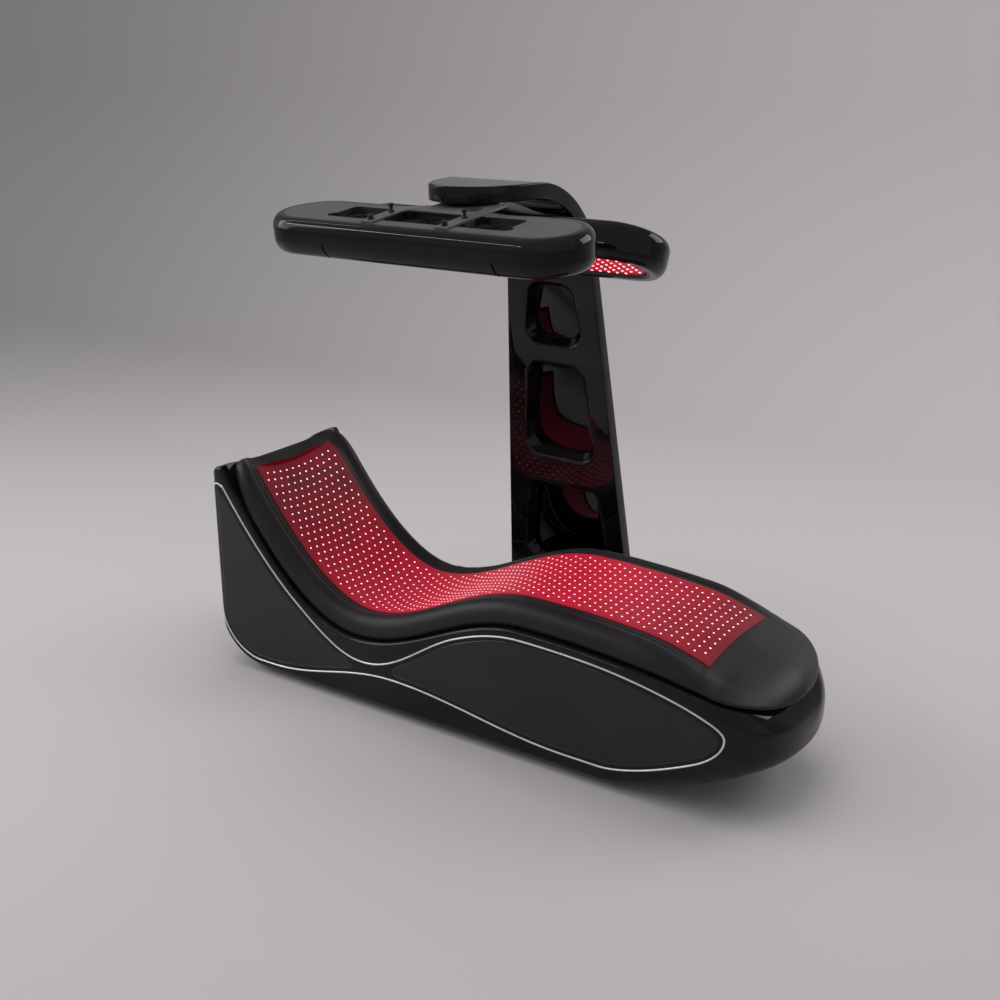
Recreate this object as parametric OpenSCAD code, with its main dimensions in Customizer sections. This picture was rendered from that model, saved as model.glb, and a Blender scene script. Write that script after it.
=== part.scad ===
// Red light therapy bed: a wave-shaped lounger with a lit mattress, and a
// ribbon tower that carries two tilting light heads over it. Millimetres,
// +X towards the foot end, +Y towards the tower, +Z up.

/* [Bed body] */
// Length of the bed body
bed_len = 2100; // [2000:10:2200]
// Width of the bed body
bed_w = 620; // [600:10:680]
// Height of the body's underside over the floor
floor_gap = 25; // [22:1:40]
// Wall of the moulded body shell
shell_wall = 8; // [5:1:12]
// Height of the body at its head end
head_h = 745; // [700:5:780]
// Height of the body at the seat dip
dip_h = 246; // [235:1:280]
// Distance of the seat dip from the head end
dip_from_head = 620; // [580:5:660]
// Height of the body under the knees
knee_h = 440; // [410:5:470]
// Distance of the knee crest from the head end
knee_from_head = 1280; // [1220:5:1340]
// Height of the body near its foot end
foot_h = 377; // [350:1:400]
// Radius of the rear lower corner in side view
heel_r = 190; // [150:5:210]
// Radius of the rear upright corners in plan
rear_corner_r = 30; // [20:1:40]
// Length of the rounded foot end in plan
nose_len = 245; // [220:5:280]
// Radius of the shoulder edge
shoulder_r = 14; // [10:1:18]
// Radius of the lower edge
sill_r = 18; // [12:1:20]

/* [Side trim and panels] */
// Width of the silver trim line
trim_w = 6; // [4:0.5:9]
// How far the trim stands out of the side
trim_out = 4; // [3:0.5:6]
// Drop of the trim below the shoulder
trim_drop = 24; // [20:1:34]
// Extra drop of the trim at the waist
waist_drop = 50; // [30:1:60]
// Height of the lower trim line at the head end
trim_low_head = 50; // [48:1:70]
// Height of the lower trim line at the waist
trim_low_waist = 136; // [120:1:145]
// Height of the lower trim line under the knees
trim_low_knee = 73; // [60:1:90]
// Margin between the trim and the gloss panels
panel_margin = 12; // [10:1:16]
// How far the gloss panels stand out of the side
panel_out = 2; // [1.5:0.5:3]

/* [Mattress] */
// Width of the body's ledge round the mattress
ledge = 16; // [12:1:24]
// Thickness of the mattress at its bolsters
pad_t = 80; // [70:1:92]
// Hollow of the lying surface at the head
sag_head = 36; // [28:1:42]
// Hollow of the lying surface at the foot end
sag_foot = 12; // [8:1:18]
// Width of the lit mat
mat_w = 410; // [360:10:420]
// Thickness of the lit mat
mat_t = 3; // [2:0.5:4]

/* [Tower] */
// Place of the tower and canopy along the bed, from its middle
tower_x = -145; // [-190:5:-90]
// Distance of the tower's foot behind the bed's centre line
tower_y = 660; // [645:5:700]
// Lean of the tower towards the bed, in degrees
tower_lean = 8; // [6:0.5:9]
// Height of the top of the arm
tower_h = 1721; // [1701:2:1761]
// Thickness of the ribbon
ribbon_t = 50; // [48:1:56]
// Wall of the ribbon's shell
ribbon_wall = 8; // [6:1:9]
// Bend radius of the ribbon at its middle
bend_r = 370; // [350:5:385]
// Half width of the ribbon at the floor
ribbon_hw0 = 272; // [264:2:286]
// Half width of the ribbon at the bend
ribbon_hw1 = 170; // [166:1:178]
// Radius of the arm's round tip
tip_r = 137; // [130:1:146]
// Margin of the windows from the ribbon's edges
window_margin = 78; // [72:1:84]
// Depth of the windows
window_depth = 36; // [30:1:38]
// Slope of the window walls, as an inset at the bottom
window_draft = 18; // [12:1:22]

/* [Light heads] */
// Length of a light head
light_len = 1100; // [1020:10:1150]
// Width of a light head
light_w = 294; // [288:2:300]
// Height of a light head
light_h = 111; // [104:1:118]
// Distance from a hinge to the middle of its head
reach = 216; // [212:1:222]
// Tilt of the near head at rest, in degrees
near_tilt = 6.5; // [4:0.5:12]
// Tilt of the far head at rest, in degrees
far_tilt = 25; // [22:1:30]
// Half distance between the two hinge pins
pin_y = 32; // [30:1:36]
// Radius of the hinge pins
pin_r = 6; // [5:0.5:6.5]
// Running clearance on the hinge pins
pin_fit = 0.06; // [0.04:0.01:0.1]
// Number of lens columns on a head
lens_cols = 22; // [16:1:23]
// Radius of a fan rotor
fan_r = 54; // [50:1:55]

/* [Hidden] */
$fn = 48;

gloss_black = "#141416";
soft_black = "#1e1e20";
grey = "#8a8a8e";
silver = "#c8c8cc";
red = "#ff2038";

// Clearance of the soft solids, and of parts that are laid in
lay = 0.4;

// The bed's ends, and the places of its dip and crest
xh = -bed_len / 2;
xf = bed_len / 2;
dip_x = xh + dip_from_head;
knee_x = xh + knee_from_head;
rim_in = 50;
foot_x = xf - 170;
nose_x = xf - nose_len;
back_curve = 1.9;
nose_z = 215;
belly_x = xf - 530;
nose_low_r = 90;
nose_up_r = 64;

// Height of the deck that carries the mattress
function ease(u) = (1 - cos(180 * max(0, min(1, u)))) / 2;
function arc_drop(u) = 1 - sqrt(max(0, 1 - u * u));
function wave(x) =
    x < dip_x
        ? dip_h + (head_h - dip_h)
            * pow(min(1, (dip_x - x) / (dip_from_head - rim_in)), back_curve)
    : x < knee_x
        ? dip_h + (knee_h - dip_h) * ease((x - dip_x) / (knee_x - dip_x))
    : knee_h - (knee_h - foot_h) * pow((x - knee_x) / (foot_x - knee_x), 2);

// Top, underside and half width of the body at a place along it
function body_top(x) =
    x < xh + rim_in ? head_h - 40 * arc_drop((xh + rim_in - x) / rim_in)
    : x > foot_x ? wave(x) - (wave(x) - nose_z - 10)
        * arc_drop((x - foot_x) / (xf - foot_x) * 0.99)
    : wave(x);
function body_low(x) =
    x < xh + heel_r
        ? floor_gap + heel_r * arc_drop((xh + heel_r - x) / heel_r)
    : x > belly_x
        ? floor_gap + (nose_z - 30 - floor_gap) * pow((x - belly_x) / (xf - belly_x), 1.6)
    : floor_gap;
function body_half(x) =
    x < xh + rear_corner_r
        ? bed_w / 2 - rear_corner_r
            * arc_drop((xh + rear_corner_r - x) / rear_corner_r)
    : x > nose_x
        ? bed_w / 2 * pow(1 - pow((x - nose_x) / nose_len * 0.995, 2.5), 1 / 2.5)
    : bed_w / 2;

// Dip of the deck's middle at the head end, and at a distance y from it
rim_dip = 32;
function dip_at(x) = rim_dip * (1 - ease((x - xh - 60) / 240));
function deck_dip(x, y) =
    let (u = min(1, abs(y) / body_half(x)))
    dip_at(x) * (u < 0.5 ? 1 - 0.5 * u : 1.5 * (1 - u));

// Radii of the lower and upper edges, which grow towards the foot end
function sill_at(x) =
    sill_r + (nose_low_r - sill_r) * max(0, min(1, 1.5 * (x - belly_x) / (xf - belly_x)));
function shoulder_at(x) =
    shoulder_r + (nose_up_r - shoulder_r) * ease((x - nose_x + 60) / (nose_len + 20));

// Stations along the bed, close together where it turns
station_step = 52;
pad_x0 = xh + 45;
pad_x1 = xf - 20;
mid_x0 = pad_x0 + 92;
mid_n = round((nose_x - mid_x0) / station_step);
stations = concat(
    [for (d = [0, 0.13, 0.5, 1]) xh + d * rear_corner_r],
    [for (d = [0, 4, 14, 32, 58]) pad_x0 + d],
    [for (i = [0 : mid_n - 1]) mid_x0 + (nose_x - mid_x0) * i / mid_n],
    [for (a = [0 : 7.5 : 82.5]) nose_x + nose_len * sin(a)],
    [xf]
);

// A closed solid through a list of sections with equal numbers of points;
// turned picks the other diagonal of each quad, so that two solids that
// meet share their faces
module loft(secs, turned = false) {
    n = len(secs);
    m = len(secs[0]);
    polyhedron(
        points = [for (s = secs) each s],
        faces = concat(
            [[for (j = [m - 1 : -1 : 0]) j]],
            [for (i = [0 : n - 2], j = [0 : m - 1])
                [turned ? i * m + (j + 1) % m : i * m + j,
                    (i + 1) * m + (j + 1) % m, (i + 1) * m + j]],
            [for (i = [0 : n - 2], j = [0 : m - 1])
                [i * m + j, i * m + (j + 1) % m,
                    turned ? (i + 1) * m + j : (i + 1) * m + (j + 1) % m]],
            [[for (j = [0 : m - 1]) (n - 1) * m + j]]
        )
    );
}

// Section of the body at x, drawn in by t on all sides
corner_steps = 4;
function body_section(x, t) =
    let (
        w = body_half(x) - t,
        lo = body_low(x) + t,
        hi = body_top(x) - t,
        rb = min(max(sill_at(x) - t, 4), 0.4 * (hi - lo), 0.5 * w),
        rt = min(max(shoulder_at(x) - t, 4), 0.4 * (hi - lo), 0.5 * w),
        quarter = [for (i = [0 : corner_steps]) 90 * i / corner_steps],
        near = concat(
            [for (a = quarter) [-(w - rb) - rb * sin(a), lo + rb - rb * cos(a)]],
            [for (a = quarter) [-(w - rt) - rt * cos(a), hi - rt + rt * sin(a)]]
        ),
        h = body_half(x) / 2,
        top = [for (y = [-min(h, 0.9 * (w - rt)), 0, min(h, 0.9 * (w - rt))])
            [y, hi - deck_dip(x, y)]],
        edge = [for (p = near) [p[0], p[1] > (lo + hi) / 2 ? p[1] - deck_dip(x, p[0]) : p[1]]],
        far_edge = [for (i = [len(edge) - 1 : -1 : 0]) [-edge[i][0], edge[i][1]]]
    )
    [for (p = concat(edge, top, far_edge)) [x, p[0], p[1]]];

// Upper and lower trim lines, drawn in by m square to the line
end_drop = 33;
waist_x = dip_x + 80;
bow_x = xh + 330;
up_end_x = xf - 600;
function slope_of(a, b) = norm([1, b - a]);
function trim_up_raw(x) =
    wave(x) - trim_drop
    - waist_drop * (1 - ease(abs(x - waist_x) / 340))
    - end_drop * pow(max(0, bow_x - x, (x - up_end_x) * 0.62) / 300, 2);
waist_low_x = dip_x + 165;
belly_low_x = dip_x + 830;
rise_x = xf - 530;
belly_rise = 104;
nose_low_x = xf - 230;
function trim_low_raw(x) =
    x < waist_low_x
        ? trim_low_head + (trim_low_waist - trim_low_head)
            * ease((x - xh - 240) / (waist_low_x - xh - 240))
    : trim_low_waist + (trim_low_knee - trim_low_waist)
            * ease((x - waist_low_x) / (belly_low_x - waist_low_x))
        + belly_rise * pow(max(0, x - rise_x) / (nose_low_x - rise_x), 1.5);
function trim_up(x, m) =
    trim_up_raw(x) - m * slope_of(trim_up_raw(x - 0.5), trim_up_raw(x + 0.5));
function trim_low(x, m) =
    trim_low_raw(x) + m * slope_of(trim_low_raw(x - 0.5), trim_low_raw(x + 0.5));

// Ends of the trim loop: rear upright, apex and nose
rear_line_x = xh + 11;
apex_r = 22;
apex_z = head_h - 80;
trim_heel_r = heel_r - 6;
low_x0 = rear_line_x + trim_heel_r + 50;
trim_nose_x = xf - 142;
trim_nose_z = 276;
nose_up_x = xf - 290;
curve_x0 = xh + 58;
function spread(a, b, n) = [for (i = [0 : n]) a + (b - a) * i / n];
function rear_part(m) = concat(
    [for (a = spread(270, 180, 9))
        [rear_line_x + trim_heel_r + (trim_heel_r - m) * cos(a),
         trim_low_head + trim_heel_r + (trim_heel_r - m) * sin(a)]],
    [for (a = spread(180, 65, 6))
        [rear_line_x + apex_r + (apex_r - m) * cos(a),
         apex_z + (apex_r - m) * sin(a)]]
);
function up_part(m, x0, x1) =
    [for (x = spread(x0, x1, round(abs(x1 - x0) / 42))) [x, trim_up(x, m)]];
function low_part(m, x0, x1) =
    [for (x = spread(x0, x1, round(abs(x1 - x0) / 48))) [x, trim_low(x, m)]];
function curve_to_tip(p, slope, m, t) =
    let (q = [trim_nose_x - m, p[1] + slope * (trim_nose_x - m - p[0])])
    (1 - t) * (1 - t) * p + 2 * t * (1 - t) * q + t * t * [trim_nose_x - m, trim_nose_z];
function nose_part(m) =
    let (
        up = [nose_up_x, trim_up(nose_up_x, m)],
        low = [nose_low_x, trim_low(nose_low_x, m)],
        up_slope = trim_up(nose_up_x, m) - trim_up(nose_up_x - 1, m),
        low_slope = trim_low(nose_low_x, m) - trim_low(nose_low_x - 1, m)
    )
    concat(
        [for (t = [0.12 : 0.125 : 0.87]) curve_to_tip(up, up_slope, m, t)],
        [[trim_nose_x - m, trim_nose_z]],
        [for (t = [0.84 : -0.14 : 0.1]) curve_to_tip(low, low_slope, m, t)]
    );
function trim_loop(m) = concat(
    rear_part(m),
    up_part(m, curve_x0, nose_up_x),
    nose_part(m),
    low_part(m, nose_low_x, low_x0)
);

// Ends of the two panels at the waist
head_tip_x = dip_x - 30;
foot_tip_x = dip_x + 190;
tip_len = 26;
function tip_arc(x, m, way) =
    let (hi = trim_up(x, m), lo = trim_low(x, m))
    [for (a = spread(20, 160, 7))
        [x + way * tip_len * sin(a), (hi + lo) / 2 + way * (hi - lo) / 2 * cos(a)]];

// The side wall as a band in plan, between two distances out of the body
module side_band(out0, out1) {
    near = [for (x = stations) [x, -(body_half(x) + out0)]];
    rev = [for (i = [len(stations) - 1 : -1 : 0])
        [stations[i], -(body_half(stations[i]) + out1)]];
    linear_extrude(head_h) polygon(concat(near, rev));
}

// A flat outline in side view, laid on the near side wall
module on_near_side(out0, out1) {
    intersection() {
        side_band(out0, out1);
        translate([0, -bed_w / 4, 0])
            rotate([90, 0, 0])
                linear_extrude(bed_w) children();
    }
}

module placed() {
    translate([0, -centre_y, 0]) children();
}
module far_side() {
    mirror([0, 1, 0]) children();
}

module body_shell() {
    inner = [for (x = stations) if (x > xh + 25 && x < xf - 20) x];
    open_x0 = pan_x0 + pan_lap;
    open_x1 = pan_x1 - pan_lap;
    color(gloss_black) placed() difference() {
        loft([for (x = stations) body_section(x, 0)]);
        loft([for (x = inner) body_section(x, shell_wall)]);
        translate([open_x0, -pan_half + pan_lap, 0])
            cube([open_x1 - open_x0, 2 * (pan_half - pan_lap), floor_gap + shell_wall + 6]);
        inlet_cut();
    }
}

// Base pan, steel chassis and levelling feet
pan_half = bed_w / 2 - 45;
pan_lap = 15;
pan_t = 4;
pan_x0 = xh + heel_r + 30;
pan_x1 = belly_x - 5;
module base_pan() {
    color(soft_black) placed()
        translate([pan_x0, -pan_half, floor_gap - pan_t])
            cube([pan_x1 - pan_x0, 2 * pan_half, pan_t]);
}

rail_b = 40;
rail_y = pan_half - 45;
supply_l = 180;
cross_x = [
    pan_x0 + 110, pan_x0 + 110 + supply_l, dip_x + 330, dip_x + 330 + supply_l,
    pan_x1 - 80
];
module chassis_frame() {
    color("#3a3a3e") placed() {
        for (s = [-1, 1])
            translate([pan_x0 + 30, s * rail_y - rail_b / 2, floor_gap])
                cube([pan_x1 - pan_x0 - 60, rail_b, rail_b]);
        for (x = cross_x)
            translate([x - rail_b / 2, -rail_y, floor_gap])
                cube([rail_b, 2 * rail_y, rail_b]);
    }
}

foot_r = 22;
foot_in = 34;
foot_y = pan_half - foot_in;
foot_places = [
    [pan_x0 + foot_in, -foot_y], [dip_x + foot_in, -foot_y], [pan_x1 - foot_in, -foot_y],
    [pan_x0 + foot_in, foot_y], [pan_x1 - foot_in, foot_y]
];
module levelling_feet() {
    color(soft_black) placed() {
        for (p = foot_places)
            translate([p[0], p[1], 0]) {
                cylinder(r = foot_r, h = 9);
                cylinder(r = 8, h = floor_gap - pan_t);
            }
        for (s = [-1, 1])
            translate([tower_x + s * (base_hw - 40), base_y1 - 40, 0])
                cylinder(r = foot_r, h = base_z);
    }
}

module near_trim() {
    color(silver) placed() on_near_side(0, trim_out) trim_ring();
}
module far_trim() {
    color(silver) placed() far_side() on_near_side(0, trim_out) trim_ring();
}
module trim_ring() {
    difference() {
        polygon(trim_loop(0));
        polygon(trim_loop(trim_w));
    }
}

module head_outline() {
    m = panel_margin + trim_w;
    polygon(concat(
        rear_part(m), up_part(m, curve_x0, head_tip_x),
        tip_arc(head_tip_x, m, 1), low_part(m, head_tip_x, low_x0)
    ));
}
module foot_outline() {
    m = panel_margin + trim_w;
    polygon(concat(
        up_part(m, foot_tip_x, nose_up_x), nose_part(m),
        low_part(m, nose_low_x, foot_tip_x), tip_arc(foot_tip_x, m, -1)
    ));
}
module near_head_panel() {
    color("black") placed() on_near_side(0, panel_out) head_outline();
}
module near_foot_panel() {
    color("black") placed() on_near_side(0, panel_out) foot_outline();
}
module far_head_panel() {
    color("black") placed() far_side() on_near_side(0, panel_out) head_outline();
}
module far_foot_panel() {
    color("black") placed() far_side() on_near_side(0, panel_out) foot_outline();
}

// The mattress: a bolster along each side, a hollow lying surface, a level
// end at the head and an overhang at the foot
pad_round = 90;
pad_round_l = 130;
pad_nose_l = 175;
pad_nose_x = pad_x1 - pad_nose_l;
pad_end_t = 14;
pad_stations = concat(
    [for (x = stations) if (x > pad_x0 - 1 && x < pad_nose_x - 10) x],
    [for (a = [0 : 9 : 81]) pad_nose_x + pad_nose_l * sin(a)],
    [pad_x1]
);
function pad_half(x) =
    (bed_w / 2 - ledge) * (
        x > pad_nose_x ? pow(1 - pow((x - pad_nose_x) / pad_nose_l * 0.996, 2.2), 1 / 2.2) : 1
    ) - pad_round * arc_drop(max(0, min(1, (pad_x0 + pad_round_l - x) / pad_round_l)));
function pad_base(x) =
    x > foot_x ? wave(x) - 0.35 * (wave(x) - body_top(x)) : body_top(x);
function slope_at(x) = (wave(x + 4) - wave(x - 4)) / 8;
function soft_min(a, b) = a * b / pow(pow(a, 5) + pow(b, 5), 0.2);
function pad_rise(x) =
    soft_min(
        pad_t * pow(1 + pow(slope_at(x), 2), 0.35),
        x < dip_x ? max(head_h + 12 - body_top(x), pad_end_t) : 3 * pad_t
    ) * (1 - 0.3 * ease((x - xf + 300) / 200))
    * (1 - 0.4 * pow(max(0, (x - pad_nose_x) / pad_nose_l), 5));
function sag(x) =
    sag_foot + (sag_head - sag_foot) * pow(ease((knee_x - x) / (knee_x - xh - 120)), 0.8);
// How far the lying surface lies under the bolsters, at y
function sink(x, y, s) =
    let (u = min(1, y / (mat_half(x) / 0.69)))
    (s + 0.7 * dip_at(x)) * (1 - pow(u, 2));
function mat_half(x) =
    let (p = pad_half(x))
    min(mat_w / 2, p * 0.69, p - 64 * min(1, p / 120) - 4);
function pad_section(x) =
    let (
        p = pad_half(x),
        b = pad_base(x) + lay + (x > nose_x ? 1.2 : min(1.2, 0.2 * dip_at(x))),
        t = pad_rise(x),
        s = min(sag(x), 0.6 * t),
        q = min(1, p / 120),
        h = mat_half(x),
        e = p - 16 * q,
        k = min(body_half(x) / 2, 0.9 * e),
        under = [for (y = [e, k, 0]) -deck_dip(x, y)],
        side = [
            [p - 16 * q, under[0]], [p - 4 * q, 0.08 * t], [p, 0.26 * t],
            [p - 3 * q, 0.5 * t], [p - 12 * q, 0.74 * t], [p - 26 * q, 0.91 * t],
            [p - 44 * q, t], [p - 64 * q, t - sink(x, p - 64 * q, s)]
        ],
        near = concat(
            [[-k, b + under[1]]],
            [for (v = side) [-v[0], b + v[1]]],
            [[-h, b + t - sink(x, h, s)], [-h / 2, b + t - sink(x, h / 2, s)],
                [0, b + t - sink(x, 0, s)]]
        ),
        far = [for (i = [len(near) - 2 : -1 : 0]) [-near[i][0], near[i][1]]]
    )
    [for (v = concat([[0, b + under[2]]], near, far)) [x, v[0], v[1]]];
module mattress() {
    color(soft_black) placed() loft([for (x = pad_stations) pad_section(x)], true);
}

// The lit mat, laid on the lying surface
mat_stations = [for (x = pad_stations) if (x > xh + 90 && x < xf - 235) x];
function mat_z(x, y) =
    pad_base(x) + lay + min(1.2, 0.2 * dip_at(x)) + pad_rise(x) - sink(x, abs(y), min(sag(x), 0.6 * pad_rise(x)));
function mat_section(x) =
    let (
        h = mat_half(x),
        line = [-h, -h / 2, 0, h / 2, h]
    )
    concat(
        [for (y = line) [x, y, mat_z(x, y) + lay + mat_t]],
        [for (i = [4 : -1 : 0]) [x, line[i], mat_z(x, line[i]) + lay]]
    );
module led_mat() {
    color(red) placed() loft([for (x = mat_stations) mat_section(x)]);
}

// Electrical parts inside the base, and the inlet in the rear wall
box_h = 60;
module power_supplies() {
    color(silver) placed()
        for (s = [-1, 1])
            translate([cross_x[0] - rail_b / 2, s * 95 - 55, floor_gap + rail_b])
                cube([cross_x[1] - cross_x[0] + rail_b, 110, box_h]);
}
module control_box() {
    color(soft_black) placed()
        translate([cross_x[2] - rail_b / 2, -80, floor_gap + rail_b])
            cube([cross_x[3] - cross_x[2] + rail_b, 160, box_h]);
}
inlet_w = 50;
inlet_h = 62;
inlet_z = 300;
inlet_depth = 34;
rocker_z = inlet_z + 17;
rocker_tilt = 8;
flange = 5;
flange_t = 3;
rocker_deep = 5;
module inlet_cut() {
    translate([xh - 1, -inlet_w / 2, inlet_z - inlet_h / 2])
        cube([rear_corner_r + 20, inlet_w, inlet_h]);
    translate([xh - 1, -inlet_w / 2 - flange, inlet_z - inlet_h / 2 - flange])
        cube([flange_t + 1, inlet_w + 2 * flange, inlet_h + 2 * flange]);
}
module mains_inlet() {
    color("#2a2a2c") placed() difference() {
        union() {
            translate([xh, -inlet_w / 2 - flange + lay, inlet_z - inlet_h / 2 - flange + lay])
                cube([flange_t, inlet_w + 2 * (flange - lay), inlet_h + 2 * (flange - lay)]);
            translate([xh, -inlet_w / 2 + lay, inlet_z - inlet_h / 2 + lay])
                cube([inlet_depth, inlet_w - 2 * lay, inlet_h - 2 * lay]);
        }
        translate([xh - 1, -14, inlet_z - 24]) cube([20, 28, 20]);
        translate([xh - 1, -12, rocker_z - 8.6]) cube([18, 24, 17.2]);
    }
}
module rocker_switch() {
    color("#b01020") placed()
        translate([xh + rocker_deep, 0, rocker_z]) rotate([90, rocker_tilt, 0])
            linear_extrude(23.4, center = true)
                polygon([[6, -6], [6, 6], [-3, 7.5], [-1.6, 0], [-3, -7.5]]);
}

// The ribbon: a leaning upright, a bend and a level arm, drawn as a side
// profile at an offset from its middle line, out of the bend
zc = tower_h - ribbon_t / 2 - bend_r;
bend_z = zc + bend_r * sin(tower_lean);
bend_y = tower_y - bend_z * tan(tower_lean);
bend_cy = bend_y - bend_r * cos(tower_lean);
tip_y = -tip_r;
function ribbon_line(o) = concat(
    [[tower_y + o / cos(tower_lean) - base_top * tan(tower_lean), base_top]],
    [for (a = spread(tower_lean, 90, 14))
        [bend_cy + (bend_r + o) * cos(a), zc + (bend_r + o) * sin(a)]],
    [[tip_y - 20, zc + bend_r + o]]
);
module ribbon(o0, o1) {
    a = ribbon_line(o0);
    b = ribbon_line(o1);
    rev = [for (i = [len(b) - 1 : -1 : 0]) b[i]];
    translate([tower_x - ribbon_hw0 - 20, 0, 0])
        rotate([90, 0, 90])
            linear_extrude(2 * ribbon_hw0 + 40) polygon(concat(a, rev));
}
// The ribbon's outline, drawn in by m: a taper in front view and a round
// tip in plan
module ribbon_outline(m) {
    intersection() {
        translate([tower_x, bed_w + tower_y, 0])
            rotate([90, 0, 0])
                linear_extrude(2 * (bed_w + tower_y))
                    polygon([
                        [-ribbon_hw0 + m, 0], [ribbon_hw0 - m, 0],
                        [ribbon_hw1 - m, bend_z], [ribbon_hw1 - m, tower_h + 10],
                        [-ribbon_hw1 + m, tower_h + 10], [-ribbon_hw1 + m, bend_z]
                    ]);
        translate([tower_x, 0, 0])
            linear_extrude(tower_h + 10) tip_outline(m);
    }
}
module tip_outline(m) {
    wide_y = bend_cy + bend_r * 0.6;
    circle(r = tip_r - m, $fn = 96);
    polygon([
        [-tip_r + m, 0], [tip_r - m, 0], [ribbon_hw0 - m, wide_y],
        [ribbon_hw0 - m, tower_y + 200], [-ribbon_hw0 + m, tower_y + 200],
        [-ribbon_hw0 + m, wide_y]
    ]);
}

// Window places as [bottom, top], measured up the tower
windows = [[276, 604], [714, 1066], [1138, 1356]];
window_r = 58;
function hw_at(z) = ribbon_hw0 + (ribbon_hw1 - ribbon_hw0) * z / bend_z;
function window_outline(w, grow) =
    let (
        r = window_r + min(0, grow) * 0.5,
        z0 = w[0] / cos(tower_lean) - grow + r,
        z1 = w[1] / cos(tower_lean) + grow - r,
        b0 = hw_at(w[0]) - window_margin + grow - r,
        b1 = hw_at(w[1]) - window_margin + grow - r,
        corners = [[-b0, z0, 180], [b0, z0, 270], [b1, z1, 0], [-b1, z1, 90]]
    )
    [for (c = corners, a = [0 : 15 : 90])
        [c[0] + r * cos(c[2] + a), c[1] + r * sin(c[2] + a)]];
module window_slab(w, grow, o, t) {
    on_tower(o) linear_extrude(t) polygon(window_outline(w, grow));
}
// Frame on the tower's face: local XY in the face, +Z to the back
module on_tower(o) {
    translate([tower_x, tower_y, 0])
        rotate([tower_lean, 0, 0])
            translate([0, o, 0])
                rotate([90, 0, 0])
                    mirror([0, 0, 1]) children();
}
module window_hull(w, grow0, o0, grow1, o1) {
    hull() {
        window_slab(w, grow0, o0, 0.1);
        window_slab(w, grow1, o1 - 0.1, 0.1);
    }
}

half_t = ribbon_t / 2;
cover_t = 4;
floor_o = -half_t + window_depth;
module tower_shell() {
    color(gloss_black) placed() difference() {
        union() {
            difference() {
                intersection() {
                    ribbon(-half_t, half_t);
                    ribbon_outline(0);
                }
                intersection() {
                    ribbon(-half_t + ribbon_wall, half_t + 1);
                    ribbon_outline(ribbon_wall);
                }
            }
            for (w = windows)
                window_hull(w, 4, -half_t + 1, 4 - window_draft, floor_o + 3);
        }
        translate([tower_x, 0, arm_low - 1]) cylinder(r = hub_r + lay, h = hub_t + 1, $fn = 96);
        for (w = windows)
            window_hull(w, 1, -half_t - 2, -window_draft, floor_o);
        hub_bolt_holes();
    }
}
module tower_back_cover() {
    color(gloss_black) placed() intersection() {
        ribbon(half_t - cover_t, half_t);
        ribbon_outline(ribbon_wall + lay);
    }
}
frame_in = ribbon_wall + 4;
frame_b = 40;
frame_o0 = -half_t + ribbon_wall;
frame_o1 = half_t - cover_t;
module tower_frame() {
    color("#3a3a3e") placed() difference() {
        union() {
            difference() {
                intersection() {
                    ribbon(frame_o0, frame_o1);
                    ribbon_outline(frame_in);
                }
                ribbon_outline(frame_in + frame_b);
            }
            intersection() {
                ribbon(frame_o0, frame_o1);
                translate([tower_x - ribbon_hw0, 0, 0])
                    cube([2 * ribbon_hw0, 2 * tower_y, base_top + 60]);
                ribbon_outline(frame_in);
            }
            translate([tower_x, 0, zc + bend_r + frame_o0])
                cylinder(r = hub_r + 8, h = frame_o1 - frame_o0);
        }
        hub_bolt_holes();
    }
}

// Mirrors on the window floors
mirror_t = 3;
module window_mirror(w) {
    color("#202024") placed()
        window_slab(w, -window_draft - 1.5, floor_o - mirror_t, mirror_t);
}
module lower_mirror() { window_mirror(windows[0]); }
module middle_mirror() { window_mirror(windows[1]); }
module upper_mirror() { window_mirror(windows[2]); }

// Steel plate under the bed and the tower, with the tower's foot bolts
base_t = 10;
base_z = floor_gap - pan_t - base_t;
base_top = base_z + base_t;
base_hw = ribbon_hw0 + 24;
base_y0 = -40;
base_y1 = tower_y + 110;
module tower_base() {
    color(soft_black) placed() {
        translate([tower_x - base_hw, base_y0, base_z])
            cube([2 * base_hw, base_y1 - base_y0, base_t]);
        for (s = [-1, 1])
            translate([tower_x + s * (ribbon_hw0 - 70) - 30, tower_y + half_t + 4, base_top])
                difference() {
                    cube([60, 60, 50]);
                    translate([-1, 8, 8]) cube([62, 60, 60]);
                }
    }
}
module tower_bolts() {
    color(silver) placed()
        for (s = [-1, 1], d = [-14, 14])
            translate([tower_x + s * (ribbon_hw0 - 70) + d, tower_y + half_t + 36, base_top + 8])
                cylinder(r = 8, h = 7, $fn = 6);
}

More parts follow.
